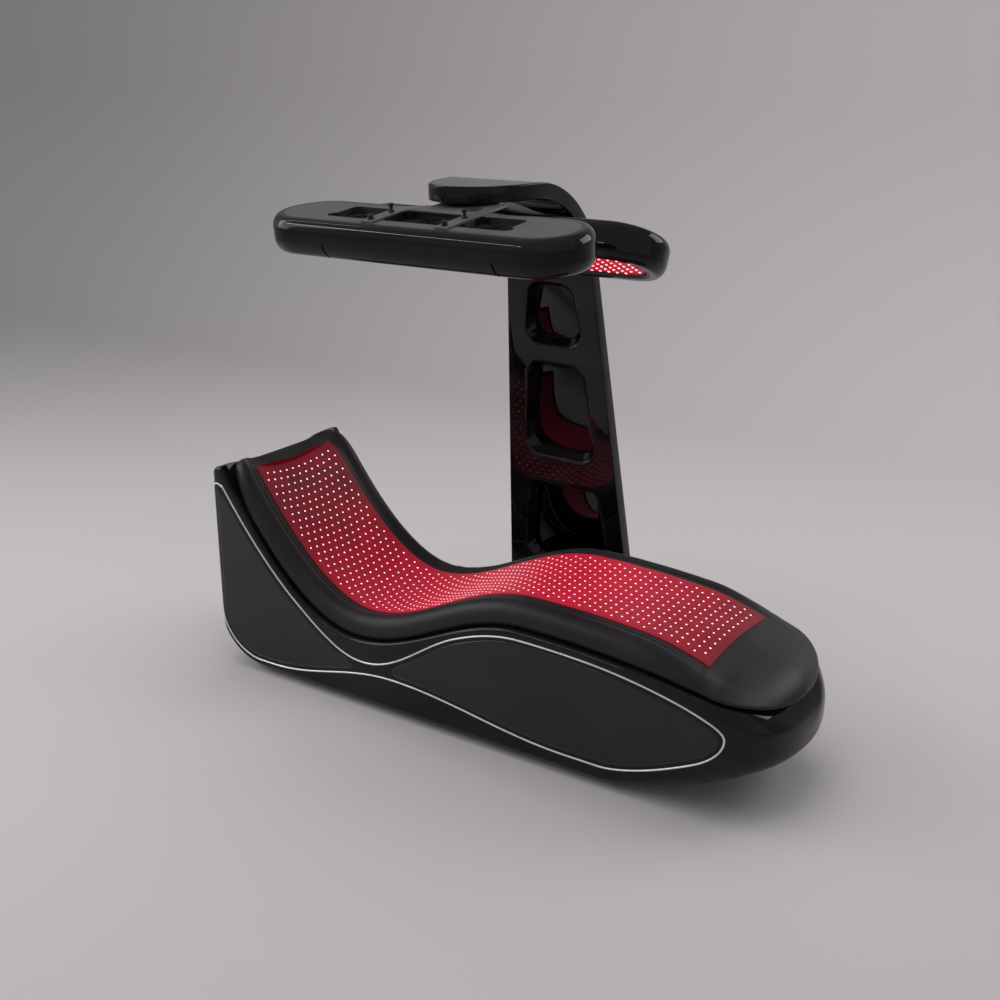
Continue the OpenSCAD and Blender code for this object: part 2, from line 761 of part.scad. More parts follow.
// Hub let into the arm's tip: a disc, and lugs that carry the two hinge pins
arm_low = zc + bend_r - half_t;
hub_r = 82;
hub_t = ribbon_wall;
barrel_r = 10;
pin_z = arm_low - barrel_r - 1;
barrel_len = 40;
lug_len = 20;
pin_len = 3 * lug_len + 2 * barrel_len + 2;
lug_x = (barrel_len + lug_len) + 0.5;
hub_bolt_angles = [90, 270];
bolt_sink = 4.2;
module hub_bolt_holes() {
    for (a = hub_bolt_angles)
        translate([tower_x, 0, 0]) rotate(a)
            translate([hub_r - 18, 0, arm_low - 40]) cylinder(r = 4.2, h = 110);
}
module hub_block() {
    color("#2c2c30") placed() difference() {
        union() {
            translate([tower_x, 0, arm_low]) cylinder(r = hub_r, h = hub_t, $fn = 96);
            for (x = [-lug_x, 0, lug_x], s = [-1, 1])
                translate([tower_x + x, s * pin_y, pin_z]) {
                    rotate([0, 90, 0]) cylinder(r = barrel_r, h = lug_len, center = true);
                    translate([-lug_len / 2, -barrel_r * 0.8, 0])
                        cube([lug_len, barrel_r * 1.6, arm_low - pin_z + 4]);
                }
        }
        hub_bolt_holes();
        for (a = hub_bolt_angles)
            translate([tower_x, 0, 0]) rotate(a)
                translate([hub_r - 18, 0, arm_low - 1]) cylinder(r = 8, h = 1 + bolt_sink);
        for (s = [-1, 1])
            translate([tower_x, s * pin_y, pin_z]) rotate([0, 90, 0])
                cylinder(r = pin_r, h = 2 * lug_x + 2 * lug_len, center = true);
    }
}
module hub_bolts() {
    color(silver) placed()
        for (a = hub_bolt_angles)
            translate([tower_x, 0, 0]) rotate(a)
                translate([hub_r - 18, 0, arm_low + 0.2]) {
                    cylinder(r = 7, h = bolt_sink - 0.2, $fn = 6);
                    cylinder(r = 4, h = hub_t + 24);
                }
}
module hinge_pin(s) {
    color(silver) placed()
        translate([tower_x, s * pin_y, pin_z]) rotate([0, 90, 0]) {
            cylinder(r = pin_r, h = pin_len + 12, center = true);
            for (e = [-1, 1])
                translate([0, 0, e * (pin_len / 2 + 6)])
                    cylinder(r = barrel_r, h = 6, center = true);
        }
}
module near_hinge_pin() { hinge_pin(-1); }
module far_hinge_pin() { hinge_pin(1); }

// A wing's own frame: the hinge axis is local X, +Y points out of the hub
module wing(side) {
    placed()
        translate([tower_x, side * pin_y, pin_z])
            rotate([0, 0, side < 0 ? 180 : 0])
                rotate([side < 0 ? -near_tilt : -far_tilt, 0, 0]) children();
}

plate_t = 7;
plate_low = barrel_r - plate_t;
bar_x = 133;
bar_b = 46;
bar_end = reach + 104;
web_end = reach - 58;
plate_top = barrel_r;
head_top = plate_low;
side_x = bar_x + bar_b / 2;
in_x = bar_x - bar_b / 2;
in_r = 22;
diag_r = 50;
diag_y = reach - 55;
tab_x = 62;
function arc(cx, cy, r, a0, a1, n) =
    [for (a = spread(a0, a1, n)) [cx + r * cos(a), cy + r * sin(a)]];
module bracket_outline() {
    polygon(concat(
        [[-side_x, barrel_r + 3], [-side_x, bar_end], [-in_x, bar_end]],
        arc(-in_x + in_r, web_end + in_r, in_r, 180, 270, 4),
        arc(in_x - in_r, web_end + in_r, in_r, 270, 360, 4),
        [[in_x, bar_end], [side_x, bar_end]],
        arc(side_x - diag_r, diag_y, diag_r, 0, -52, 4),
        [[tab_x, diag_y - 74], [tab_x, barrel_r + 3]]
    ));
}
module bracket(side) {
    x0 = lug_len / 2 + 0.5;
    color(grey) wing(side) difference() {
        union() {
            translate([0, 0, plate_low]) linear_extrude(plate_t) bracket_outline();
            for (s = [-1, 1])
                translate([s > 0 ? x0 : -x0 - barrel_len + 0.5, 0, 0]) {
                    rotate([0, 90, 0]) cylinder(r = barrel_r, h = barrel_len - 0.5);
                    translate([0, 0, plate_low])
                        cube([barrel_len - 0.5, barrel_r + 8, plate_t]);
                }
        }
        rotate([0, 90, 0]) cylinder(r = pin_r + pin_fit, h = 3 * side_x, center = true);
    }
}
module near_bracket() { bracket(-1); }
module far_bracket() { bracket(1); }

// Studs with caps that hold the head to the bars, and the cable cap
module bracket_bolts(side) {
    color(soft_black) wing(side)
        for (x = [-bar_x, bar_x], v = [[-14, 26], [84, 14]])
            translate([x, reach + v[0], plate_top]) {
                cylinder(r = 5, h = v[1]);
                translate([0, 0, v[1] - 9]) cylinder(r = 8, h = 9);
                cylinder(r = 10, h = 4);
            }
}
module near_bracket_bolts() { bracket_bolts(-1); }
module far_bracket_bolts() { bracket_bolts(1); }
module cable_cap(side) {
    color(soft_black) wing(side)
        translate([-bar_x + 40, web_end - 58, plate_top]) cylinder(r = 24, h = 4);
}
module near_cable_cap() { cable_cap(-1); }
module far_cable_cap() { cable_cap(1); }

// A light head is a round-ended bar: a section run along a straight and
// turned round both ends
end_r = light_w / 2;
straight = light_len - light_w;
head_low = head_top - light_h;
module round_bar() {
    translate([0, reach, 0]) {
        for (s = [0, 1])
            rotate(180 * s)
                rotate([90, 0, 90])
                    translate([0, 0, -straight / 2])
                        linear_extrude(straight) children();
        for (s = [0, 1])
            rotate(180 * s)
                translate([straight / 2, 0, 0])
                    rotate(-90) rotate_extrude(angle = 180, $fn = 64) children();
    }
}
module round_plate(r, z, t) {
    translate([0, reach, z]) linear_extrude(t) {
        square([straight, 2 * r], center = true);
        for (s = [-1, 1]) translate([s * straight / 2, 0]) circle(r = r, $fn = 64);
    }
}
wall = 7;
top_open = end_r - 38;
low_open = end_r - 46;
function shell_side(t) = concat(
    [for (a = spread(0, 90, 5))
        [end_r - 28 + (28 - t) * sin(a), head_top - 38 + (38 - t) * cos(a)]],
    [for (a = spread(90, 180, 5))
        [end_r - 28 + (28 - t) * sin(a), head_low + 42 + (42 - t) * cos(a)]]
);
module shell_section() {
    outer = shell_side(0);
    inner = shell_side(wall);
    rev = [for (i = [len(inner) - 1 : -1 : 0]) inner[i]];
    polygon(concat(
        [[top_open, head_top]], outer, [[low_open, head_low]],
        [[low_open, head_low + wall]], rev, [[top_open, head_top - wall]]
    ));
}
module light_shell(side) {
    color(gloss_black) wing(side) difference() {
        round_bar() shell_section();
        for (x = [-straight * 0.42, straight * 0.33])
            translate([x, reach + end_r - 16, head_low - 1])
                rotate([0, 0, 12]) cube([7, 20, 34]);
    }
}
module near_light_shell() { light_shell(-1); }
module far_light_shell() { light_shell(1); }

// Top plate with three walled vents over the fans
vent_y = 72;
vent_x = 236;
vent_hx = 116;
side_vent_hx = 95;
module vent(kind, grow, z, t) {
    hx = kind == 0 ? vent_hx : side_vent_hx;
    slant = kind == 0 ? 0 : 14;
    r = 22;
    a = kind < 0 ? -1 : 1;
    pts = [
        [-hx, -vent_y], [hx - slant, -vent_y], [hx, vent_y - 10], [-hx, vent_y - 10]
    ];
    translate([kind * vent_x, reach, z]) linear_extrude(t)
        for (i = [0 : 3])
            polygon(concat(
                [[0, 0]],
                [for (k = [0, 1])
                    let (p = pts[(i + k) % 4])
                    [a * (p[0] - sign(p[0]) * (r - grow)), p[1] - sign(p[1]) * (r - grow)]]
            ));
    translate([kind * vent_x, reach, z]) linear_extrude(t) {
        for (p = pts)
            translate([a * (p[0] - sign(p[0]) * r), p[1] - sign(p[1]) * r])
                circle(r = r + grow, $fn = 24);
        square([2 * (hx - slant - 2) + 2 * grow, 2 * (vent_y - r)], center = true);
        translate([0, -5]) square([2 * (hx - slant - r), 2 * (vent_y - 5) + 2 * grow], center = true);
    }
}
plate_b = 4;
vent_wall = 3;
tray_z = head_top - 20;
module top_plate(side) {
    color(grey) wing(side) difference() {
        union() {
            round_plate(top_open - lay / 2, head_top - plate_b, plate_b);
            for (k = [-1, 0, 1]) vent(k, vent_wall, tray_z, head_top - tray_z - 1);
        }
        for (k = [-1, 0, 1]) vent(k, 0, tray_z - 1, 40);
    }
}
module near_top_plate() { top_plate(-1); }
module far_top_plate() { top_plate(1); }

// Tray under the vents, with a round opening and a guard for each fan
tray_t = 3;
fan_x = [-vent_x, 0, vent_x];
fan_open = fan_r + 3;
module fan_tray(side) {
    color(soft_black) wing(side) {
        difference() {
            round_plate(top_open - 4, tray_z - tray_t, tray_t);
            for (x = fan_x)
                translate([x, reach - 3, tray_z - tray_t - 1])
                    cylinder(r = fan_open, h = tray_t + 2, $fn = 64);
        }
        for (x = fan_x) translate([x, reach - 3, tray_z - tray_t]) {
            for (r = [18, 30, 42]) difference() {
                cylinder(r = r, h = tray_t, $fn = 64);
                translate([0, 0, -1]) cylinder(r = r - 1.6, h = tray_t + 2, $fn = 64);
            }
            for (a = [0, 90])
                rotate(a + 45) translate([-fan_open - 1, -1, 0])
                    cube([2 * fan_open + 2, 2, tray_t]);
        }
    }
}
module near_fan_tray() { fan_tray(-1); }
module far_fan_tray() { fan_tray(1); }

// Fan frames with a motor post, and the rotors that turn on the posts
fan_b = 2 * fan_r + 12;
fan_t = 25;
frame_z = tray_z - tray_t - fan_t;
post_r = 3;
module fan_frames(side) {
    color(soft_black) wing(side)
        for (x = fan_x) translate([x, reach - 3, frame_z]) {
            difference() {
                translate([-fan_b / 2, -fan_b / 2, 0]) cube([fan_b, fan_b, fan_t]);
                translate([0, 0, -1]) cylinder(r = fan_open - 1, h = fan_t + 2, $fn = 64);
            }
            for (a = [0, 120, 240])
                rotate(a) translate([0, -3, 0]) cube([fan_open, 6, 2.5]);
            cylinder(r = 19, h = 2.5);
            cylinder(r = post_r, h = 17);
        }
}
module near_fan_frames() { fan_frames(-1); }
module far_fan_frames() { fan_frames(1); }
module fan_rotor(side, i) {
    color(soft_black) wing(side)
        translate([fan_x[i], reach - 3, frame_z + 3.2]) difference() {
            union() {
                cylinder(r = 19, h = 18);
                for (a = [0 : 360 / 7 : 359])
                    rotate(a) translate([16, -6, 2.2]) rotate([38, 0, 0])
                        cube([fan_r - 18, 19, 1.6]);
            }
            translate([0, 0, -1]) cylinder(r = post_r + pin_fit, h = 15.4);
        }
}
module near_fan_1() { fan_rotor(-1, 0); }
module near_fan_2() { fan_rotor(-1, 1); }
module near_fan_3() { fan_rotor(-1, 2); }
module far_fan_1() { fan_rotor(1, 0); }
module far_fan_2() { fan_rotor(1, 1); }
module far_fan_3() { fan_rotor(1, 2); }

// Board with its rows of lenses, and the bezel round it
board_t = 4;
board_r = low_open - 2;
board_z = head_low + wall + 3;
module led_board(side) {
    color("white") wing(side) round_plate(board_r, board_z, board_t);
}
module near_led_board() { led_board(-1); }
module far_led_board() { led_board(1); }
lens_r = 8;
lens_h = 5;
lens_rows = 5;
lens_pitch_y = 38;
lens_pitch_x = (light_len - 160) / lens_cols;
lens_room = low_open - 16 - lens_r - 1;
lens_places = [
    for (row = [0 : lens_rows - 1], col = [0 : lens_cols - 1])
        let (
            x = (col - (lens_cols - 1) / 2) * lens_pitch_x
                + (row % 2 - 0.5) * lens_pitch_x / 2,
            y = (row - (lens_rows - 1) / 2) * lens_pitch_y
        )
        if (norm([max(0, abs(x) - straight / 2), y]) < lens_room) [x, y]
];
module lenses(side) {
    color(red) wing(side)
        for (p = lens_places)
            translate([p[0], reach + p[1], board_z - lens_h])
                cylinder(r = lens_r, h = lens_h, $fn = 16);
}
module near_lenses() { lenses(-1); }
module far_lenses() { lenses(1); }
module bezel(side) {
    color(soft_black) wing(side) round_bar()
        polygon([
            [low_open - lay, head_low + 1], [low_open - lay, board_z],
            [low_open - 16, board_z], [low_open - 8, head_low + 1]
        ]);
}
module near_bezel() { bezel(-1); }
module far_bezel() { bezel(1); }

// The origin is under the middle of the whole object
near_out = pin_y + max([for (p = shell_side(0))
    (reach + p[0]) * cos(near_tilt) + p[1] * sin(near_tilt)]);
centre_y = (base_y1 - max(near_out, bed_w / 2 + trim_out)) / 2;

body_shell();
base_pan();
chassis_frame();
levelling_feet();
near_trim();
far_trim();
near_head_panel();
near_foot_panel();
far_head_panel();
far_foot_panel();
mattress();
led_mat();
power_supplies();
control_box();
mains_inlet();
rocker_switch();
tower_base();
tower_bolts();
tower_frame();
tower_shell();
tower_back_cover();
upper_mirror();
middle_mirror();
lower_mirror();
hub_block();
hub_bolts();
near_hinge_pin();
far_hinge_pin();
near_bracket();
near_bracket_bolts();
near_cable_cap();
near_light_shell();
near_top_plate();
near_fan_tray();
near_fan_frames();
near_fan_1();
near_fan_2();
near_fan_3();
near_led_board();
near_lenses();
near_bezel();
far_bracket();
far_bracket_bolts();
far_cable_cap();
far_light_shell();
far_top_plate();
far_fan_tray();
far_fan_frames();
far_fan_1();
far_fan_2();
far_fan_3();
far_led_board();
far_lenses();
far_bezel();
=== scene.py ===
import math

import bmesh
import bpy
import numpy as np
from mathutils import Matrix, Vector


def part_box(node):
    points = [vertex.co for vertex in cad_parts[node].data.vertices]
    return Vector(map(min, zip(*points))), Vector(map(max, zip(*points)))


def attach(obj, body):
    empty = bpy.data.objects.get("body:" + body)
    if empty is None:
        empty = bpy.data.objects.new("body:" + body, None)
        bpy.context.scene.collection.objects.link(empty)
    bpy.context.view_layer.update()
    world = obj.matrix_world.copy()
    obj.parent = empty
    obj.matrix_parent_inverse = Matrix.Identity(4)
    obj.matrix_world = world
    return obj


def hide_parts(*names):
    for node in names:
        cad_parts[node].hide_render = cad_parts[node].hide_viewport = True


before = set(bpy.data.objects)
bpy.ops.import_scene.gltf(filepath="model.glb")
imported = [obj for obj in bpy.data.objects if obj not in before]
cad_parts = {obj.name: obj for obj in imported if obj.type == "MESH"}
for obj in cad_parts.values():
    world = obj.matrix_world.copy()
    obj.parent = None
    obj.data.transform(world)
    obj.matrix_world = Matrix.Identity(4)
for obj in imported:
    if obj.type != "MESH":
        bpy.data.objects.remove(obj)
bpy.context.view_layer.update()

# ----------------------------------------
# The room: a pale floor that sweeps up into a backdrop, three large soft
# lamps, two strip lamps that draw thin lines on the lacquer, and the camera,
# a little above the light heads' height.


class Sock:
    """A shader socket. Arithmetic on it adds Math nodes to its material."""

    def __init__(self, tree, out=None):
        self.tree, self.out = tree, out

    def node(self, kind, settings=None, sockets=None, out=0):
        """A node of a kind: its settings first, then values or links."""
        n = self.tree.nodes.new(kind)
        for key, value in (settings or {}).items():
            setattr(n, key, value)
        for key, value in (sockets or {}).items():
            if isinstance(value, Sock):
                self.tree.links.new(value.out, n.inputs[key])
            else:
                n.inputs[key].default_value = value
        return Sock(self.tree, n.outputs[out])

    def math(self, operation, a, b=0.0):
        """A Math node on two values or sockets."""
        return self.node("ShaderNodeMath", {"operation": operation}, {0: a, 1: b})

    def __add__(self, other):
        return self.math("ADD", self, other)

    def __mul__(self, other):
        return self.math("MULTIPLY", self, other)

    def __sub__(self, other):
        return self.math("SUBTRACT", self, other)

    def __rsub__(self, other):
        return self.math("SUBTRACT", other, self)

    __radd__, __rmul__ = __add__, __mul__

    def blend(self, low, high):
        """The colour low where self is 0 and high where it is 1."""
        sockets = {0: self, 6: colour(low), 7: colour(high)}
        return self.node("ShaderNodeMix", {"data_type": "RGBA"}, sockets, out=2)


def colour(tone):
    """A colour with its alpha, from three numbers or a socket."""
    return tone if isinstance(tone, Sock) else (*tone, 1)


def finish(name, tone, rough, **shader):
    """A Principled material; shader holds its constant sockets by name."""
    material = bpy.data.materials.new(name)
    material.use_nodes = True
    tree = material.node_tree
    bsdf = tree.nodes["Principled BSDF"]
    bsdf.inputs["Base Color"].default_value = (*tone, 1)
    bsdf.inputs["Roughness"].default_value = rough
    for key, value in shader.items():
        bsdf.inputs[key.replace("_", " ")].default_value = value
    return material, Sock(tree), bsdf


def feed(bsdf, **links):
    """Links sockets into the shader, by the names of its inputs."""
    for key, value in links.items():
        value.tree.links.new(value.out, bsdf.inputs[key.replace("_", " ")])


def object_at(root):
    """Object coordinates, in metres."""
    return root.node("ShaderNodeTexCoord", out=3)


def noise(root, scale, detail, stretch=(1, 1, 1)):
    """Noise on Object coordinates: scale is cycles in a metre."""
    at = {"Vector": object_at(root), "Scale": stretch}
    at = root.node("ShaderNodeMapping", None, at)
    sockets = {"Vector": at, "Scale": scale, "Detail": detail}
    return root.node("ShaderNodeTexNoise", None, sockets)


def spread(root, value, low, high, to_low=0.0, to_high=1.0):
    """Carries a value from one range to another, held at the ends."""
    sockets = {"Value": value, 1: low, 2: high, 3: to_low, 4: to_high}
    return root.node("ShaderNodeMapRange", None, sockets)


def bump(root, height, strength, distance):
    """A Bump node over a height: distance is its real depth in metres."""
    sockets = {"Height": height, "Strength": strength, "Distance": distance}
    return root.node("ShaderNodeBump", None, sockets)


def new_piece(name, points, faces, material):
    """A mesh object from points in metres, with one material."""
    mesh = bpy.data.meshes.new(name)
    mesh.from_pydata(points.reshape(-1, 3).tolist(), [], faces)
    mesh.materials.append(material)
    piece = bpy.data.objects.new(name, mesh)
    bpy.context.scene.collection.objects.link(piece)
    return piece


def quads(n, m, loop_n=False, loop_m=False, start=0):
    """Faces between neighbours of an n by m grid, round it where it loops."""
    i, j = np.meshgrid(
        np.arange(n if loop_n else n - 1),
        np.arange(m if loop_m else m - 1),
        indexing="ij",
    )
    a, b = (i + 1) % n, (j + 1) % m
    four = np.stack([i * m + j, a * m + j, a * m + b, i * m + b], -1)
    return (four.reshape(-1, 4) + start).tolist()


room_hw, floor_front, floor_back, sweep_r, room_h = 22, -14.0, 3.2, 1.8, 12.0
sweep_a = np.linspace(0.1, np.pi / 2, 14)
sweep_y = floor_back + sweep_r * np.sin(sweep_a)
sweep_y = np.r_[floor_front, floor_back, sweep_y, floor_back + sweep_r]
sweep_z = np.r_[0, 0, sweep_r * (1 - np.cos(sweep_a)), room_h]
room_x = np.array([[-room_hw], [room_hw]]) + 0 * sweep_y
room_grid = np.stack([room_x, sweep_y + 0 * room_x, sweep_z + 0 * room_x], -1)
paper, root, bsdf = finish("studio_paper", (0.56, 0.53, 0.535), 0.75)
floor = new_piece("studio_floor", room_grid, quads(2, sweep_y.size), paper)
for face in floor.data.polygons:
    face.use_smooth = True

scene = bpy.context.scene
scene.view_settings.view_transform = "Standard"
world = bpy.data.worlds.new("studio")
scene.world = world
world.use_nodes = True
sky = world.node_tree.nodes["Background"]
sky.inputs["Color"].default_value = (0.95, 0.97, 1.0, 1)
sky.inputs["Strength"].default_value = 0.40


def lamp(name, place, aim, size, power):
    """A rectangular area lamp at a place, turned to face aim."""
    light = bpy.data.lights.new(name, "AREA")
    light.shape, light.size, light.size_y = "RECTANGLE", size[0], size[1]
    light.energy = power
    holder = bpy.data.objects.new(name, light)
    scene.collection.objects.link(holder)
    holder.location = place
    way = np.array(aim, float) - np.array(place, float)
    flat = math.hypot(way[0], way[1])
    down, turn = math.atan2(flat, -way[2]), math.atan2(way[1], way[0])
    holder.rotation_euler = (down, 0, turn - math.pi / 2)
    return holder


overhead = lamp("soft_top", (-0.4, 0.2, 4.6), (0, 0, 0.4), (5.0, 4.0), 105)
overhead.visible_glossy = False
lamp("soft_left", (-4.6, -2.4, 2.8), (-0.4, 0, 0.6), (3.4, 3.0), 62)
lamp("soft_back", (3.0, 3.2, 3.4), (0, 0.2, 0.9), (3.0, 2.2), 60)
lamp("line_front", (-2.4, -3.4, 3.6), (-0.2, -0.5, 1.6), (3.4, 0.08), 22)
lamp("line_left", (-3.6, -1.2, 3.4), (-0.6, 0, 0.8), (0.10, 3.0), 8)

view_pitch, view_turn = 19.093, 33.864
camera = bpy.data.cameras.new("camera")
camera.lens, camera.sensor_width = 46.8, 36
eye = bpy.data.objects.new("camera", camera)
scene.collection.objects.link(eye)
eye.location = (2.17259, -3.49942, 2.1)
eye.rotation_euler = (math.radians(90 - view_pitch), 0, math.radians(view_turn))
scene.camera = eye

# ----------------------------------------
# Body: one moulded shell, lacquered gloss black, whose top line runs from the
# raised back down to the seat, over the knees and into a full round nose.
# Its skin is closed below, and the rear wall holds the mains inlet's recess.
bed_l, bed_w = 2100, 620
head_x, foot_x = -bed_l / 2, bed_l / 2
seat_x, knee_x, tail_x, nose_x, belly_x = -430, 230, 880, 805, 520
head_z, seat_z, knee_z, tail_z, nose_z = 745, 246, 440, 377, 225
floor_gap, belly_rise, heel_r, rear_roll, corner_r = 25, 160, 190, 50, 30
nose_l, belly_l, tail_l = foot_x - nose_x, foot_x - belly_x, foot_x - tail_x
rear_drop, dip, dip_from, dip_run = 40, 32, 60, 240
sides = ((-1, "near"), (1, "far"))
bed_y = -1000 * (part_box("base_pan")[0].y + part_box("base_pan")[1].y) / 2


def ease(u):
    """Half a cosine wave, from 0 to 1."""
    return (1 - np.cos(np.pi * np.clip(u, 0, 1))) / 2


def arc_drop(u):
    """How far a quarter circle has dropped at u of its radius."""
    return 1 - np.sqrt(np.clip(1 - np.asarray(u) ** 2, 0, 1))


def deck(x):
    """Height of the top line: a power curve, an eased rise, a parabola."""
    back_l = seat_x - head_x - rear_roll
    back = seat_z + (head_z - seat_z) * np.clip((seat_x - x) / back_l, 0, 1) ** 1.9
    rise = seat_z + (knee_z - seat_z) * ease((x - seat_x) / (knee_x - seat_x))
    fall = knee_z - (knee_z - tail_z) * ((x - knee_x) / (tail_x - knee_x)) ** 2
    return np.where(x < seat_x, back, np.where(x < knee_x, rise, fall))


def body_top(x):
    """The top line, rolled down by an arc at each end."""
    rear_end = head_x + rear_roll
    rear = head_z - rear_drop * arc_drop(np.clip((rear_end - x) / rear_roll, 0, 1))
    fall = arc_drop(np.clip((x - tail_x) / tail_l, 0, 1))
    nose = deck(x) - (deck(x) - nose_z) * fall
    return np.where(x < rear_end, rear, np.where(x > tail_x, nose, deck(x)))


def body_low(x):
    """The lower line: a heel arc, level, then a rise to the nose."""
    heel = heel_r * arc_drop(np.clip((head_x + heel_r - x) / heel_r, 0, 1))
    belly = belly_rise * np.clip((x - belly_x) / belly_l, 0, 1) ** 1.6
    return floor_gap + heel + belly


def body_half(x):
    """Half width: a corner arc at the rear and a superellipse at the nose."""
    rear = corner_r * arc_drop(np.clip((head_x + corner_r - x) / corner_r, 0, 1))
    u = np.clip((x - nose_x) / nose_l, 0, 1)
    return (bed_w / 2 - rear) * (1 - u**2.5) ** 0.4


def rim_dip(x):
    """Dip of the deck's middle at the head end."""
    return dip * (1 - ease((x - head_x - dip_from) / dip_run))


def deck_dip(x, y):
    """Dip at a distance y from the middle: half a cosine, none near the edge."""
    u = np.clip(np.abs(y) / np.maximum(body_half(x), 1), 0, 1)
    return rim_dip(x) * (1 - ease((u - 0.15) / 0.7))


def both_sides(y, z):
    """Closed sections from the half that runs from the bottom to the top."""
    y = np.concatenate([-y, y[:, -2:0:-1]], 1)
    return y, np.concatenate([z, z[:, -2:0:-1]], 1)


def body_section(x):
    """Closed section at each x: two corner arcs a side and a dipped top.

    The corner radii grow towards the nose; the arcs are quarter circles.
    """
    x = np.asarray(x, float)[:, None]
    w, low, top = body_half(x), body_low(x), body_top(x)
    most = np.minimum(0.42 * (top - low), 0.5 * w)
    sill = 18 + 72 * np.clip(1.5 * (x - belly_x) / belly_l, 0, 1)
    shoulder = 14 + 50 * ease((x - nose_x + 60) / 265)
    rb, rt = np.minimum(sill, most), np.minimum(shoulder, most)
    a = np.linspace(0, np.pi / 2, 9)[None, :]
    up = np.linspace(0, 1, 12)[None, 1:-1]
    in_y, in_t = w - rb, w - rt
    flat = np.linspace(0, 1, 8)[None, :-1]
    y = [flat * in_y, in_y + rb * np.sin(a), w + 0 * up]
    z = [low + 0 * flat, low + rb - rb * np.cos(a)]
    z.append(low + rb + (top - rt - low - rb) * up)
    y.append(in_t + rt * np.cos(a))
    z.append(top - rt + rt * np.sin(a))
    over = np.linspace(1, 0, 16)[None, 1:]
    y.append(in_t * over)
    z.append(top + 0 * over)
    y, z = np.concatenate(y, 1), np.concatenate(z, 1)
    lift = np.clip((z - low) / (top - low) * 2 - 1, 0, 1)
    y, z = both_sides(y, z - deck_dip(x, y) * np.where(lift > 0, 1, 0))
    return np.stack([x + 0 * y, y, z], -1)


def pole(ring, rings):
    """Rings that shrink a closed outline to its middle."""
    t = np.linspace(1, 0, rings + 1)[:, None, None]
    mid = ring.mean(0)
    return mid + (ring - mid) * t


def in_room(points):
    """From millimetres of the bed's frame to metres of the object's."""
    return (points - np.array([0, bed_y, 0])) * 0.001


def make(name, grids, material, body="base", instead=(), crisp=35):
    """One piece from grids: (points, loops round rows, loops round columns).

    Doubles are merged, faces turned outwards, and edges over the crisp
    angle stay sharp. It rides on a body and may stand for CAD nodes.
    """
    points, faces, count = [], [], 0
    for grid, loop_n, loop_m in grids:
        n, m = grid.shape[:2]
        faces += quads(n, m, loop_n, loop_m, count)
        points.append(in_room(grid).reshape(-1, 3))
        count += n * m
    piece = new_piece(name, np.concatenate(points), faces, material)
    mend(piece, merge=True)
    soften(piece, crisp)
    belong(piece, body, instead)
    return piece


def mend(piece, merge=False):
    """Turns a mesh's faces outwards, after merging its doubles if asked."""
    built = bmesh.new()
    built.from_mesh(piece.data)
    if merge:
        bmesh.ops.remove_doubles(built, verts=built.verts, dist=2e-5)
        bmesh.ops.dissolve_degenerate(built, edges=built.edges, dist=1e-6)
    bmesh.ops.recalc_face_normals(built, faces=built.faces)
    built.to_mesh(piece.data)
    built.free()


def soften(piece, crisp):
    """Smooth shading, with edges over the crisp angle kept sharp."""
    piece.data.polygons.foreach_set("use_smooth", [True] * len(piece.data.polygons))
    piece.data.set_sharp_from_angle(angle=math.radians(crisp))


def belong(piece, body, instead):
    """Names a piece's body and the nodes it stands for."""
    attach(piece, body)
    if instead:
        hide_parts(*instead)


def lacquer(name, tone, rough, coat_rough, peel, shine=1.34):
    """Sprayed lacquer under a clear coat: orange peel and faint smears."""
    coat = {"Coat_Weight": 1.0, "Coat_Roughness": coat_rough, "Coat_IOR": shine}
    material, root, bsdf = finish(name, tone, 0.4, Specular_IOR_Level=0.0, **coat)
    smear = spread(root, noise(root, 3.2, 4, (1, 1, 2.2)), 0.42, 0.66)
    grain, wave = noise(root, 240, 2), noise(root, 34, 2)
    feed(
        bsdf,
        Roughness=smear * 0.07 + rough,
        Base_Color=smear.blend(tone, tuple(2.4 * c for c in tone)),
        Normal=bump(root, grain * 0.35 + wave, peel, 0.0006),
    )
    return material


gloss_black = lacquer("gloss_black_lacquer", (0.004, 0.004, 0.0045), 0.3, 0.03, 0.07)
inlet_z, inlet_w, inlet_h, flange, step_in, well_deep = 300, 50, 62, 5, 3, 36
shell_x = np.concatenate(
    [
        head_x + corner_r * (1 - np.cos(np.linspace(0, np.pi / 2, 9))),
        head_x + np.linspace(34, 200, 22),
        np.linspace(head_x + 215, nose_x - 6, 96),
        nose_x + nose_l * np.sin(np.linspace(0, np.pi / 2, 42)),
    ]
)
shell_grid = body_section(shell_x)
rear = shell_grid[0]
turn = np.arctan2(rear[:, 2] - inlet_z, rear[:, 1])


def box_ring(x, half_w, half_h):
    """A rectangle's outline, met by rays at the rear wall's own angles."""
    reach = np.minimum(
        half_w / np.maximum(np.abs(np.cos(turn)), 1e-6),
        half_h / np.maximum(np.abs(np.sin(turn)), 1e-6),
    )
    y, z = reach * np.cos(turn), inlet_z + reach * np.sin(turn)
    return np.stack([x + 0 * turn, y, z], -1)


rim = box_ring(head_x, inlet_w / 2 + flange, inlet_h / 2 + flange)
step = rim + [step_in, 0, 0]
lip = box_ring(head_x + step_in, inlet_w / 2, inlet_h / 2)
well = lip + [well_deep - step_in, 0, 0]
mix = np.linspace(0, 1, 7)[:, None, None] ** 1.3
rear_wall = rear * (1 - mix) + rim * mix
recess = np.stack([rim, step, lip, well])
make(
    "body_shell_lacquered",
    [
        (shell_grid, False, True),
        (rear_wall, False, True),
        (recess, False, True),
        (pole(well, 3), False, True),
    ],
    gloss_black,
    instead=["body_shell"],
)

